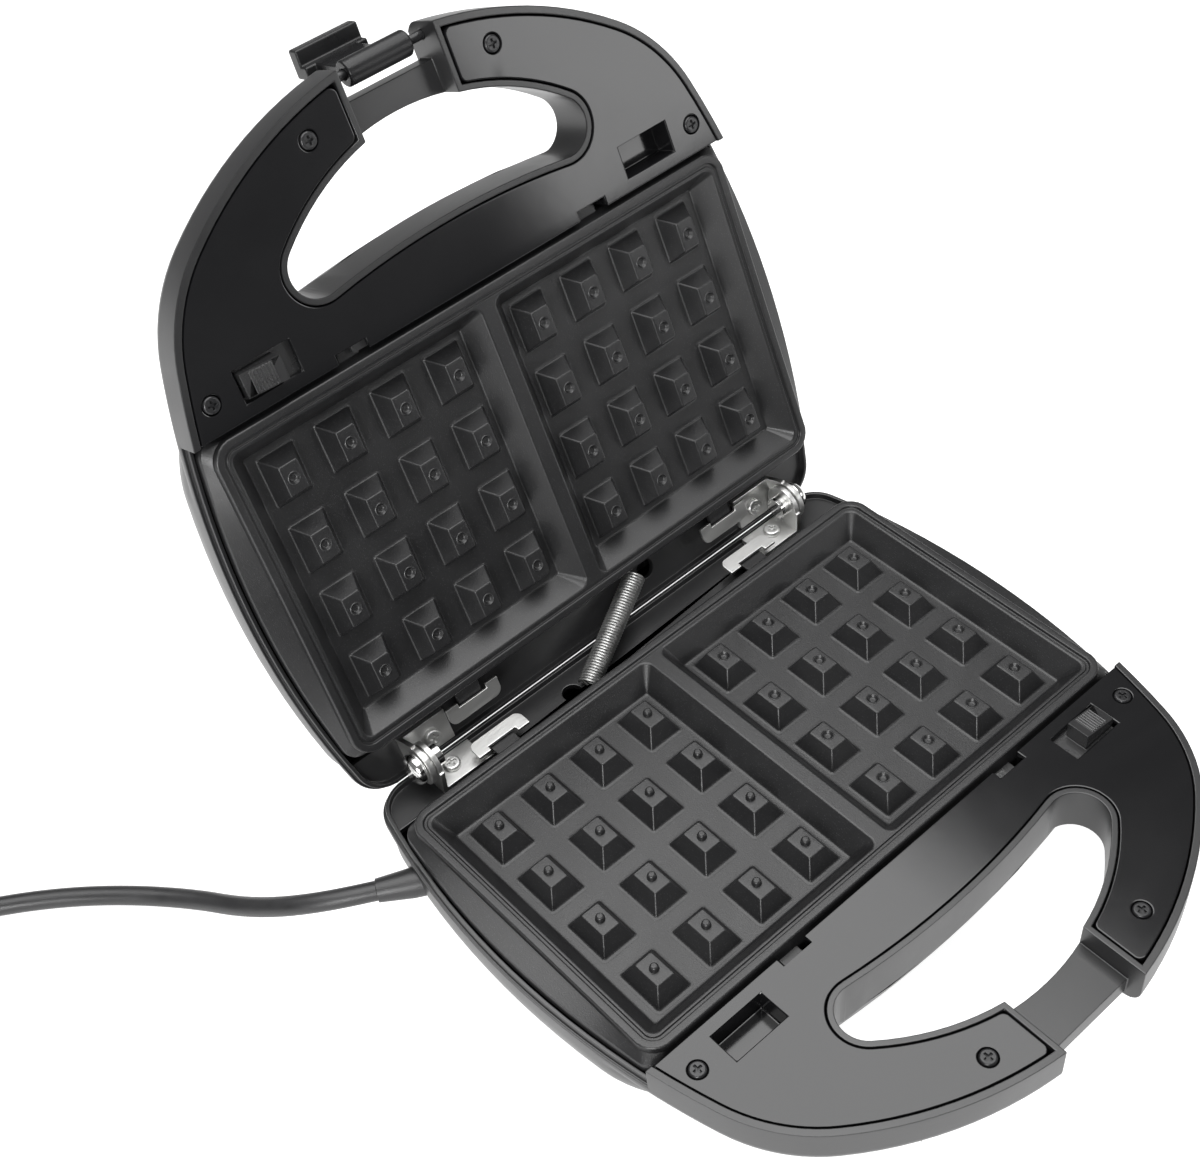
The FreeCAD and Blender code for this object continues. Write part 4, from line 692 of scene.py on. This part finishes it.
@dataclass
class WafflePlate:
    """Cast plate of one half: skirt, bead, groove, two trays of studs, and tabs."""

    half: Half
    bead_half: Pair = (108.3, 61.0)
    bead_corner: float = 8.0
    face: float = -0.4
    bead_height: float = 2.8
    bead_width: float = 3.0
    bead_round: float = 0.8
    crest_round: float = 0.5
    groove_width: float = 1.3
    groove_depth: float = 1.1
    groove_draft: float = 0.05
    groove_round: float = 0.3
    lip_drop: float = 0.5
    tray_margin: float = 1.1
    shelf_strip: float = 0.3
    shelf_round: float = 0.2
    mouth_strip: float = 0.6
    mouth_round: float = 0.45
    tray_slope: float = 6.0
    tray_corner: float = 3.5
    tray_mitre: float = 0.4
    floor_round: float = 0.6
    divider_top: float = 6.0
    skirt_half: Pair = (110.6, 62.2)
    skirt_corner: float = 6.0
    skirt_bulge: float = 5.2
    skirt_round: float = 0.9
    skirt_z: Pair = (-9.5, -6.0)
    wall: float = 2.5
    stud_top_z: float = -2.25
    stud_height: float = 7.0
    stud_base: Pair = (13.6, 17.7)
    stud_top: Pair = (7.1, 10.7)
    stud_corner: float = 0.7
    stud_flange: float = 1.2
    stud_fillet: float = 0.6
    stud_round: float = 0.4
    flange_lift: float = 0.03
    level_step: float = 0.03
    pitch: Pair = (22.5, 25.4)
    inner_column_x: float = 18.6
    columns: int = 4
    rows: int = 4
    nub_radius: float = 1.7
    nub_height: float = 2.0
    nub_taper: float = 0.8
    nub_round: float = 0.8
    dimple_radius: float = 2.0
    dimple_taper: float = 0.6
    dimple_depth: float = 0.9
    dimple_rim: float = 0.3
    dimple_round: float = 0.4
    rear_tab: tuple[float, float, float, float] = (61.0, 10.0, 7.4, 1.6)
    rear_tab_top: float = -4.7
    front_tab: tuple[float, float, float] = (51.0, 8.0, 5.0)
    front_tab_top: float = -5.35
    tab_round: float = 0.4
    ring_steps: int = 6
    side_cuts: int = 11

    def build(self) -> Object:
        """Cast the plate, set its studs and tabs, and dress it."""
        work = Workpiece(f"{self.half.value}_cast_plate")
        self._casting(work)
        for side in (-1, 1):
            stud = self._stud(nubbed=self.half is Half.BASE and side < 0)
            work.set_copies(stud, self._stud_places(side))
        self._tabs(work)
        stands_for = [self.half.node("waffle_plate")]
        return work.finish(PLATE_COATING, self.half.value, stands_for, self.half.placement())

    @property
    def floor_z(self) -> float:
        """Height of the tray floors."""
        return self.stud_top_z - self.stud_height

    @property
    def tray_half(self) -> Pair:
        """Half sizes of both tray mouths together."""
        inset = self.bead_width + self.groove_width + self.tray_margin
        return self.bead_half[0] - inset, self.bead_half[1] - inset

    def _ring(self, work: Workpiece, half: Sequence[float], corner: float, inset: float,
              z: float) -> list[BMEdge]:
        """Ring at a height, set inside a rounded rectangle."""
        return work.ring(half[0] - inset, half[1] - inset, corner - inset, z, steps=self.ring_steps,
                         side_cuts=self.side_cuts)

    def _skirt_ring(self, work: Workpiece, inset: float, z: float) -> list[BMEdge]:
        """Ring of the skirt, whose left and right sides bulge.

        Args:
            work: The workpiece.
            inset: Distance inside the skirt.
            z: Height.

        Returns:
            The ring's edges.
        """
        ring = self._ring(work, self.skirt_half, self.skirt_corner, inset, z)
        straight = self.skirt_half[1] - self.skirt_corner
        for vert in dict.fromkeys(vert for edge in ring for vert in edge.verts):
            if abs(vert.co.y) < straight:
                bulge = self.skirt_bulge * (1 - (vert.co.y / straight) ** 2)
                vert.co.x += math.copysign(bulge, vert.co.x)
        return ring

    def _casting(self, work: Workpiece) -> None:
        """The plate without studs: from its underside over skirt, bead, groove and lip into the trays."""
        step = self.level_step
        belly = [half - self.tray_slope + self.wall for half in self.tray_half]
        bottom = self.floor_z - self.wall
        lip = self.face - self.lip_drop
        groove = self.face - self.groove_depth
        inner = self.bead_width + self.groove_width
        rim = rounded_profile([
            (0.0, self.face - self.bead_height, 0.0),
            (0.0, self.face, self.bead_round),
            (self.bead_width, self.face - step, self.crest_round),
            (self.bead_width + self.groove_draft, groove, self.groove_round),
            (inner - self.groove_draft, groove - step, self.groove_round),
            (inner, lip, self.shelf_round),
            (inner + self.shelf_strip, lip - step, 0.0),
        ])
        edge = rounded_profile([
            (2 * self.skirt_round, self.skirt_z[0] - step, 0.0),
            (0.0, self.skirt_z[0], self.skirt_round / 2),
            (0.0, self.skirt_z[1], self.skirt_round),
            (self.skirt_half[1] - self.bead_half[1], self.face - self.bead_height, 0.0),
        ])[:-1]
        under = [self._ring(work, belly, self.tray_corner, 0.0, z)
                 for z in (bottom, self.skirt_z[0] - 2 * step)]
        skirt = [self._skirt_ring(work, inset, z) for inset, z in edge]
        rings = [self._ring(work, self.bead_half, self.bead_corner, inset, z) for inset, z in rim]
        work.skin(*under, *skirt, *rings)
        work.cap(under[0])
        mouths = self._trays(work, lip - step)
        bmesh.ops.triangle_fill(work.bm, edges=rings[-1] + mouths, use_beauty=True, normal=(0, 0, 1))

    def _trays(self, work: Workpiece, lip: float) -> list[BMEdge]:
        """The two trays with sloping walls.

        Args:
            work: The workpiece.
            lip: Height of the lip round their mouths.

        Returns:
            The edges round both mouths.
        """
        edges = []
        near = self.divider_top / 2
        half_x = (self.tray_half[0] - near) / 2
        profile = rounded_profile([
            (-self.mouth_strip, lip, 0.0),
            (0.0, lip - self.level_step, self.mouth_round),
            (self.tray_slope, self.floor_z, self.floor_round),
            (self.tray_slope + 2 * self.floor_round, self.floor_z - self.level_step, 0.0),
        ])
        for side in (-1, 1):
            centre = (side * (near + half_x), 0.0)
            rings = [work.ring(half_x - inset, self.tray_half[1] - inset,
                               self.tray_corner - self.tray_mitre * inset, z, centre, self.ring_steps)
                     for inset, z in profile]
            work.skin(*rings)
            work.cap(rings[-1])
            edges += rings[0]
        return edges

    def _stud(self, nubbed: bool) -> Mesh:
        """One tapered stud with a nub or a dimple on its crown.

        Args:
            nubbed: True for the nub.

        Returns:
            The stud's mesh, centred on its place.
        """
        work = Workpiece("stud")
        ground = self.floor_z + self.flange_lift
        base = [size / 2 for size in self.stud_base]
        taper = [(wide - narrow) / 2 for wide, narrow in zip(self.stud_base, self.stud_top)]
        profile = rounded_profile([
            (-self.stud_flange, ground, 0.0),
            (0.0, ground + self.level_step, self.stud_fillet),
            (taper[0], self.stud_top_z, self.stud_round),
            (base[0], self.stud_top_z + self.level_step, 0.0),
        ])[:-1]
        rings = [work.ring(base[0] - inset, base[1] - inset * taper[1] / taper[0],
                           self.stud_corner - min(inset, 0.0), z) for inset, z in profile]
        mark = self._nub() if nubbed else self._dimple()
        rings += [work.circle(radius, self.stud_top_z + z) for radius, z in mark]
        work.skin(*rings)
        work.cap(rings[0])
        work.cap(rings[-1])
        return work.mesh()

    def _nub(self) -> list[Pair]:
        """Radius of the nub at each height over the crown."""
        return rounded_profile([
            (self.nub_radius, self.level_step, 0.0),
            (self.nub_radius * self.nub_taper, self.nub_height, self.nub_round),
            (self.nub_radius / 2, self.nub_height + self.level_step, 0.0),
        ])

    def _dimple(self) -> list[Pair]:
        """Radius of the dimple's raised rim and bowl at each height over the crown."""
        return rounded_profile([
            (self.dimple_radius + self.dimple_rim, self.level_step, 0.0),
            (self.dimple_radius, self.dimple_rim, self.dimple_rim / 2),
            (self.dimple_radius * self.dimple_taper, -self.dimple_depth, self.dimple_round),
            (self.dimple_radius / 3, -self.dimple_depth - self.level_step, 0.0),
        ])

    def _stud_places(self, side: int) -> Iterable[Vector]:
        """Middles of the studs of one tray."""
        for column in range(self.columns):
            for row in range(self.rows):
                x = side * (self.inner_column_x + column * self.pitch[0])
                yield Vector((x, (row - (self.rows - 1) / 2) * self.pitch[1], 0.0))

    def _tabs(self, work: Workpiece) -> None:
        """Two tabs under the clips and two under the handle cover."""
        root = self.skirt_half[1] - self.skirt_corner / 2
        tab_x, tab_width, tab_length, tab_thick = self.rear_tab
        front_x, front_width, front_length = self.front_tab
        edge = self.skirt_half[1]
        bottom = self.skirt_z[0] + self.flange_lift
        blocks = (
            (tab_x, tab_width, (root, edge + tab_length), (self.rear_tab_top - tab_thick, self.rear_tab_top)),
            (tab_x, tab_width, (root, edge), (bottom, self.rear_tab_top)),
            (front_x, front_width, (-edge - front_length, -root), (bottom, self.front_tab_top)),
        )
        for side in (-1, 1):
            for x, width, deep, high in blocks:
                work.block(((side * x - width / 2, side * x + width / 2), deep, high), self.tab_round)


@dataclass
class Housing:
    """Gloss shell and handle cover of one half, with the cover's screws."""

    half: Half
    shell_round: float = 0.45
    cover_round: float = 0.55
    screw_round: float = 0.12

    def build(self) -> None:
        """Dress the shell, the cover and the screws."""
        body = self.half.value
        dressed_copy(self.half.node("shell"), body, SHELL_GLOSS, self.shell_round)
        dressed_copy(self.half.node("handle_cover"), body, COVER_GLOSS, self.cover_round)
        dressed_copy(self.half.node("cover_screws"), body, SCREW_BLACK, self.screw_round)


@dataclass
class HingeGear:
    """Brackets, plate clips and screws on the rear deck of one half."""

    half: Half
    sheet_round: float = 0.3
    screw_round: float = 0.14

    def build(self) -> None:
        """Dress the sheet metal and the screws."""
        body = self.half.value
        for side in ("left", "right"):
            dressed_copy(self.half.node(f"hinge_bracket_{side}"), body, ZINC, self.sheet_round)
            dressed_copy(self.half.node(f"plate_clip_{side}"), body, ZINC, self.sheet_round)
        dressed_copy(self.half.node("hinge_screws"), body, ZINC, self.screw_round)


@dataclass
class HingeAxle:
    """Domed pins and washers of the hinge."""

    edge_round: float = 0.12

    def build(self) -> None:
        """Dress the pins and the washers."""
        for side in ("left", "right"):
            dressed_copy(f"hinge_pin_{side}", "base", RIVET_STEEL, self.edge_round)
        dressed_copy("hinge_washers", "base", ZINC, self.edge_round)


@dataclass
class Release:
    """Release slider of one half, with its spring."""

    half: Half
    edge_round: float = 0.25
    spring_radius: float = 2.0
    spring_wire: float = 0.6
    spring_turns: int = 7

    def build(self) -> None:
        """Dress the slider and wind its spring."""
        slider = f"{self.half.value}_slider"
        dressed_copy(self.half.node("release_slider"), slider, SLIDER_BLACK, self.edge_round)
        node = self.half.node("slider_spring")
        low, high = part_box(node)
        middle = (Vector(low) + Vector(high)) / 2
        inset = Vector((self.spring_wire * MM / 2, 0.0, 0.0))
        ends = [Vector((low[0], middle.y, middle.z)) + inset, Vector((high[0], middle.y, middle.z)) - inset]
        if self.half is Half.LID:
            ends.reverse()
        spring = WoundWire(f"{node}_wound", ends[0], ends[1], self.spring_radius * MM, self.spring_wire * MM,
                           self.spring_turns)
        obj = spring.build(SPRING_STEEL, [node])
        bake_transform(obj)


@dataclass
class WoundWire:
    """Wire wound about a straight line, in metres."""

    name: str
    start: Vector
    end: Vector
    radius: float
    wire: float
    turns: int
    steps: int = 18
    sides: int = 8

    def build(self, finish: Finish, replaces: Sequence[str]) -> Object:
        """Wind the wire.

        Args:
            finish: Its finish.
            replaces: The nodes that it stands for.

        Returns:
            The object, on no body.
        """
        work = Workpiece(self.name)
        bm = work.bm
        run = self.end - self.start
        place = Matrix.Translation((self.radius, 0.0, 0.0)) @ Matrix.Rotation(math.pi / 2, 4, "X")
        made = bmesh.ops.create_circle(bm, segments=self.sides, radius=self.wire / 2, matrix=place)["verts"]
        first = edges_of(made)
        count = self.turns * self.steps
        last = bmesh.ops.spin(bm, geom=made + first, cent=(0, 0, 0), axis=(0, 0, 1),
                              angle=2 * math.pi * self.turns, dvec=(0, 0, run.length / count),
                              steps=count)["geom_last"]
        work.cap(first)
        work.cap([item for item in last if isinstance(item, BMEdge)])
        return work.finish(finish, None, replaces, Matrix.Translation(self.start) @ facing(run))


@dataclass
class WireSleeve:
    """Close-wound steel sleeve between the halves."""

    base_end: Triple = (-21.5, 66.6, -7.8)
    lid_end: Triple = (-18.5, 67.0, -6.25)
    radius: float = 3.75
    wire: float = 0.9
    pitch: float = 1.12

    def build(self) -> Object:
        """Wind the sleeve straight from deck to deck."""
        start = Half.BASE.placement() @ Vector(self.base_end)
        end = Half.LID.placement() @ Vector(self.lid_end)
        turns = round((end - start).length / (self.pitch * MM))
        wound = WoundWire("sleeve_wound", start, end, self.radius * MM, self.wire * MM, turns, steps=16)
        obj = wound.build(SPRING_STEEL, ["wire_sleeve"])
        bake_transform(obj)
        return obj


@dataclass
class Latch:
    """Swing latch on its pin in the lid handle."""

    edge_round: float = 0.8
    edge_steps: int = 3
    pin_round: float = 0.2

    def build(self) -> None:
        """Dress the clip and its pin."""
        dressed_copy("latch_clip", "latch", LATCH_BLACK, self.edge_round, self.edge_steps)
        dressed_copy("latch_pin", "lid", SCREW_BLACK, self.pin_round)


@dataclass
class Feet:
    """Four turned rubber feet."""

    x: float = 76.0
    ys: Pair = (-46.0, 63.0)
    top: float = -40.0
    height: float = 4.0
    radius: float = 7.5
    stem_radius: float = 2.5
    stem_length: float = 2.6
    hollow_radius: float = 4.2
    hollow_depth: float = 0.8
    taper: float = 0.94
    hollow_taper: float = 0.8
    edge_round: float = 0.5
    steps: int = 40

    def build(self) -> Object:
        """Turn one foot and set four copies."""
        work = Workpiece("rubber_feet_turned")
        bottom = -self.height
        outline = [
            (0.0, self.stem_length), (self.stem_radius, self.stem_length), (self.stem_radius, 0.0),
            (self.radius, 0.0), (self.radius * self.taper, bottom), (self.hollow_radius, bottom),
            (self.hollow_radius * self.hollow_taper, bottom + self.hollow_depth),
            (0.0, bottom + self.hollow_depth),
        ]
        foot = turned("foot", outline, self.steps, self.edge_round)
        work.set_copies(foot, [(side * self.x, y, self.top) for side in (-1, 1) for y in self.ys])
        return work.finish(FOOT_RUBBER, "base", ["rubber_feet"], Half.BASE.placement())


def turned(name: str, outline: Sequence[Pair], steps: int, width: float) -> Mesh:
    """Turn an outline about the z axis and round its corners.

    Args:
        name: Name of the mesh.
        outline: Radius and height of each corner, from axis to axis.
        steps: Steps round the axis.
        width: Width of the rounding.

    Returns:
        The mesh.
    """
    work = Workpiece(name)
    bm = work.bm
    verts = [bm.verts.new((radius, 0.0, z)) for radius, z in outline]
    edges = [bm.edges.new(pair) for pair in zip(verts, verts[1:])]
    bmesh.ops.spin(bm, geom=verts + edges, cent=(0, 0, 0), axis=(0, 0, 1), angle=2 * math.pi, steps=steps,
                   use_merge=True)
    bmesh.ops.remove_doubles(bm, verts=bm.verts, dist=TURNED_REACH)
    bmesh.ops.recalc_face_normals(bm, faces=bm.faces)
    work.round_sharp(width, segments=3)
    return work.mesh()


@dataclass
class Indicators:
    """Two lenses in the lid's top, with their lamps."""

    x: float = 12.0
    y: float = -28.0
    top: float = -40.0
    radius: float = 3.5
    proud: float = 0.6
    wall: float = 2.6
    flange: float = 1.2
    shoulder: float = 0.4
    crown: float = 0.8
    edge_round: float = 0.2
    steps: int = 36

    def build(self) -> Object:
        """Turn the lenses and dress the lamps."""
        work = Workpiece("indicator_lenses_turned")
        top = self.wall + self.flange
        rim = self.radius + self.flange
        outline = [
            (0.0, top), (rim, top), (rim, self.wall), (self.radius, self.wall),
            (self.radius, -self.proud * self.shoulder), (self.radius * self.crown, -self.proud),
            (0.0, -self.proud),
        ]
        lens = turned("lens", outline, self.steps, self.edge_round)
        work.set_copies(lens, [(side * self.x, self.y, self.top) for side in (-1, 1)])
        dress_node("indicator_lamps", LAMP_GLASS)
        return work.finish(RED_LENS, "lid", ["indicator_lenses"], Half.LID.placement())


@dataclass
class HeatingGear:
    """What heats each half, and the mains wiring in the base: nodes that keep their shape."""

    finishes: dict[str, Finish] = field(default_factory=lambda: {
        "reflector_pan": REFLECTOR,
        "reflector_screws": ZINC,
        "heating_element": ELEMENT_SHEATH,
        "thermostat": HEAT_PLASTIC,
    })
    base_parts: tuple[str, ...] = ("thermal_fuse", "terminal_block", "cord_clamp")

    def build(self) -> None:
        """Dress the inner nodes."""
        for half in Half:
            for piece, finish in self.finishes.items():
                dress_node(half.node(piece), finish)
        for node in self.base_parts:
            dress_node(node, HEAT_PLASTIC)


@dataclass
class MainsLead:
    """Lead, strain relief, coil, tie and plug. Its places are metres in the base half's frame."""

    diameter: float = 0.007
    half_width: float = 0.119
    side_radius: float = 0.300
    shell_depth: float = 0.040
    side_round: float = 0.0245
    gland_y: float = 0.050
    gland_z: float = -0.018
    gland_turn: float = math.radians(30.0)
    gland_outside: float = 0.014
    gland_inside: float = 0.009
    clamp: float = 0.005
    first_run: float = 0.008
    straight: float = 0.030
    stand: float = 0.044
    bends: tuple[Triple, ...] = (
        (-0.1595, 0.0910, 0.0095),
        (-0.1700, 0.1145, 0.0015),
        (-0.1890, 0.1370, 0.0),
        (-0.2110, 0.1555, 0.0),
        (-0.2360, 0.1710, 0.0),
        (-0.2620, 0.1860, 0.0011),
    )
    coil_radius: float = 0.041
    coil_step: float = 0.0076
    turns_in: float = 1.0
    turns_climb: float = 0.5
    turns_out: float = 0.75
    turn_step: float = 0.0001
    points_per_turn: int = 16
    tail_first: float = 0.012
    tail_run: float = 0.015
    tail_drift: float = 0.0015
    plug_size: Triple = (0.034, 0.023, 0.017)
    plug_neck: float = 0.012
    plug_neck_radii: Pair = (0.0047, 0.0061)
    plug_corner: float = 0.005
    plug_waist: tuple[float, float, float, float] = (0.72, 0.8, 0.8, 0.08)
    plug_head: tuple[Pair, ...] = ((0.41, 1.0), (1.0, 0.97))
    plug_round: float = 0.0003
    plug_steps: int = 6
    ribs: int = 5
    rib_start: float = 0.14
    rib_pitch: float = 0.05
    rib_share: float = 0.78
    rib_grow: float = 0.2
    rib_corner: float = 0.9
    rib_profile: tuple[Pair, ...] = ((0.0, 0.0), (0.3, 0.0), (0.5, 0.0006), (0.8, 0.0006))
    relief_collar: float = 0.0052
    relief_tip: float = 0.0041
    relief_flange: float = 0.007
    relief_flange_width: float = 0.0025
    relief_shoulder: float = 0.002
    relief_grip: float = 0.98
    relief_round: float = 0.00018
    relief_steps: int = 8
    tie_round: float = 0.2
    blade_round: float = 0.3
    length: float = 0.77

    def build(self) -> Object:
        """Lay the lead and fit what is on it."""
        relief = self._strain_relief()
        plug = self._plug()
        tie = dressed_copy("cord_tie", "base", TIE_PLASTIC, self.tie_round)
        blades = dressed_copy("plug_blades", "base", BRASS, self.blade_round)
        data = bpy.data.curves.new("mains_lead", "CURVE")
        data.dimensions = "3D"
        data.bevel_depth = self.diameter / 2
        data.bevel_resolution = 5
        data.resolution_u = 6
        data.use_fill_caps = True
        route = self._route()
        spline = data.splines.new("NURBS")
        spline.points.add(len(route) - 1)
        for point, place in zip(spline.points, route):
            point.co = (*place, 1.0)
        spline.order_u = 3
        spline.use_endpoint_u = True
        lead = bpy.data.objects.new("mains_lead", data)
        bpy.context.scene.collection.objects.link(lead)
        data.materials.append(CORD_SHEATH.material())
        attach(lead, "base")
        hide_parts("power_cord", "cord_coil", "cord_tail")
        LOG.info("mains_lead: %d points", len(route))
        return lead

    @staticmethod
    def _in_frame(point: Vector) -> Vector:
        """A point of the base half's frame in the scene."""
        return point + hinge_point() - Vector((0.0, HINGE_Y * MM, 0.0))

    def _axis(self) -> Vector:
        """Direction in which the lead leaves the base."""
        return Vector((-math.cos(self.gland_turn), math.sin(self.gland_turn), 0.0))

    def _seat(self) -> Vector:
        """Where the lead comes through the left wall."""
        run = max(-self.gland_z - (self.shell_depth - self.side_round), 0.0)
        draw = self.side_round - math.sqrt(self.side_round ** 2 - run ** 2)
        radius = self.side_radius - draw
        reach = self.half_width - self.side_radius + math.sqrt(radius ** 2 - self.gland_y ** 2)
        return Vector((-reach, self.gland_y, self.gland_z))

    def _route(self) -> list[Vector]:
        """Control points of the lead from the clamp to the plug, in the scene."""
        table = self.diameter / 2 - self.stand
        axis = self._axis()
        start = self._seat() + axis * (self.gland_outside - self.first_run)
        points = [self._seat() - axis * (self.gland_inside + self.clamp), start, start + axis * self.straight]
        points += [Vector((x, y, table + lift)) for x, y, lift in self.bends]
        points += self._coil(points[-1], points[-2])
        return [self._in_frame(point) for point in points]

    def _coil(self, last: Vector, before: Vector) -> list[Vector]:
        """Turns of the coil and the tail that leaves it.

        Args:
            last: Last point before the coil.
            before: The point before that.

        Returns:
            The points from the coil to the plug's neck.
        """
        ahead = heading(before, last)
        start = last + ahead * self.diameter
        centre = start + left_of(ahead) * self.coil_radius
        turns = self.turns_in + self.turns_climb + self.turns_out
        count = round(turns * self.points_per_turn)
        points = [self._coil_point(start, centre, index / self.points_per_turn) for index in range(count + 1)]
        return points + self._tail(points[-1], self._coil_point(start, centre, turns - self.turn_step))

    def _coil_point(self, start: Vector, centre: Vector, turn: float) -> Vector:
        """Point of the coil: in on the table, up half way round, and out on top.

        Args:
            start: Where the coil begins.
            centre: Its middle.
            turn: How many turns from its start.

        Returns:
            The point.
        """
        out = (start - centre).normalized()
        side = left_of(out)
        reverse = self.turns_in + self.turns_climb / 2
        radius = self.coil_radius - self.coil_step * (turn if turn < reverse else 2 * reverse - turn)
        climb = min(1.0, max(0.0, (turn - self.turns_in) / self.turns_climb))
        lift = Vector((0.0, 0.0, self.coil_step * climb * climb * (3 - 2 * climb)))
        angle = 2 * math.pi * turn
        return centre + (out * math.cos(angle) + side * math.sin(angle)) * radius + lift

    def _tail(self, last: Vector, before: Vector) -> list[Vector]:
        """Points from the coil down to the plug's neck.

        Args:
            last: Last point of the coil.
            before: The point before that.

        Returns:
            The tail's points.
        """
        ahead = heading(before, last)
        left = left_of(ahead)
        start = last + ahead * self.diameter
        first = start + ahead * self.tail_first
        low = Vector((first.x, first.y, self.plug_size[2] / 2 - self.stand))
        second = low + ahead * self.tail_run + left * self.tail_drift
        third = second + ahead * self.tail_run + left * (2 * self.tail_drift)
        return [start, first, second, third]

    def _strain_relief(self) -> Object:
        """Tapered strain relief round the lead."""
        work = Workpiece("strain_relief")
        inner = -self.gland_inside
        flange_end = inner + self.relief_flange_width
        bore = self.diameter / 2 * self.relief_grip
        stations = [(bore, inner), (self.relief_flange, inner), (self.relief_flange, flange_end),
                    (self.relief_collar, flange_end), (self.relief_collar, self.relief_shoulder),
                    (self.relief_tip, self.gland_outside), (bore, self.gland_outside)]
        rings = [work.circle(radius, z, self.relief_steps) for radius, z in stations]
        work.skin(*rings)
        bmesh.ops.bridge_loops(work.bm, edges=rings[0] + rings[-1])
        work.round_sharp(self.relief_round)
        place = Matrix.Translation(self._in_frame(self._seat())) @ facing(self._axis())
        return work.finish(CORD_SHEATH, "base", ["cord_gland"], place)

    def _plug(self) -> Object:
        """Moulded plug with a ribbed grip, lying at the end of the tail."""
        work = Workpiece("plug_moulded")
        length, width, height = self.plug_size
        neck = self.plug_neck
        half_y = width / 2
        half_z = height / 2
        corner = self.plug_corner
        steps = self.plug_steps
        rings = [work.circle(radius, z, steps) for radius, z in zip(self.plug_neck_radii, (0.0, neck))]
        wide, high, tight, at = self.plug_waist
        rings.append(work.ring(half_y * wide, half_z * high, corner * tight, neck + length * at, steps=steps))
        for index in range(self.ribs):
            z = neck + length * (self.rib_start + self.rib_pitch * index)
            grow = self.rib_share + self.rib_grow * index / (self.ribs - 1)
            for step, dent in self.rib_profile:
                rings.append(work.ring(half_y * grow - dent, half_z * grow - dent, corner * self.rib_corner,
                                       z + length * self.rib_pitch * step, steps=steps))
        for at, share in self.plug_head:
            rings.append(work.ring(half_y * share, half_z * share, corner, neck + length * at, steps=steps))
        work.skin(*rings)
        work.cap(rings[0])
        work.cap(rings[-1])
        work.round_sharp(self.plug_round)
        route = self._route()
        ahead = heading(route[-2], route[-1])
        turn = Matrix((left_of(ahead), Vector((0.0, 0.0, 1.0)), ahead)).transposed().to_4x4()
        return work.finish(CORD_SHEATH, "base", ["plug"], Matrix.Translation(route[-1]) @ turn)


def main() -> None:
    """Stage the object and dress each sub-assembly."""
    logging.basicConfig(level=logging.INFO, format="%(name)s: %(message)s")
    Studio().build()
    MainsLead().build()
    for half in Half:
        Housing(half).build()
        WafflePlate(half).build()
        HingeGear(half).build()
        Release(half).build()
    HingeAxle().build()
    WireSleeve().build()
    Latch().build()
    Feet().build()
    Indicators().build()
    HeatingGear().build()


if __name__ == "__main__":
    main()
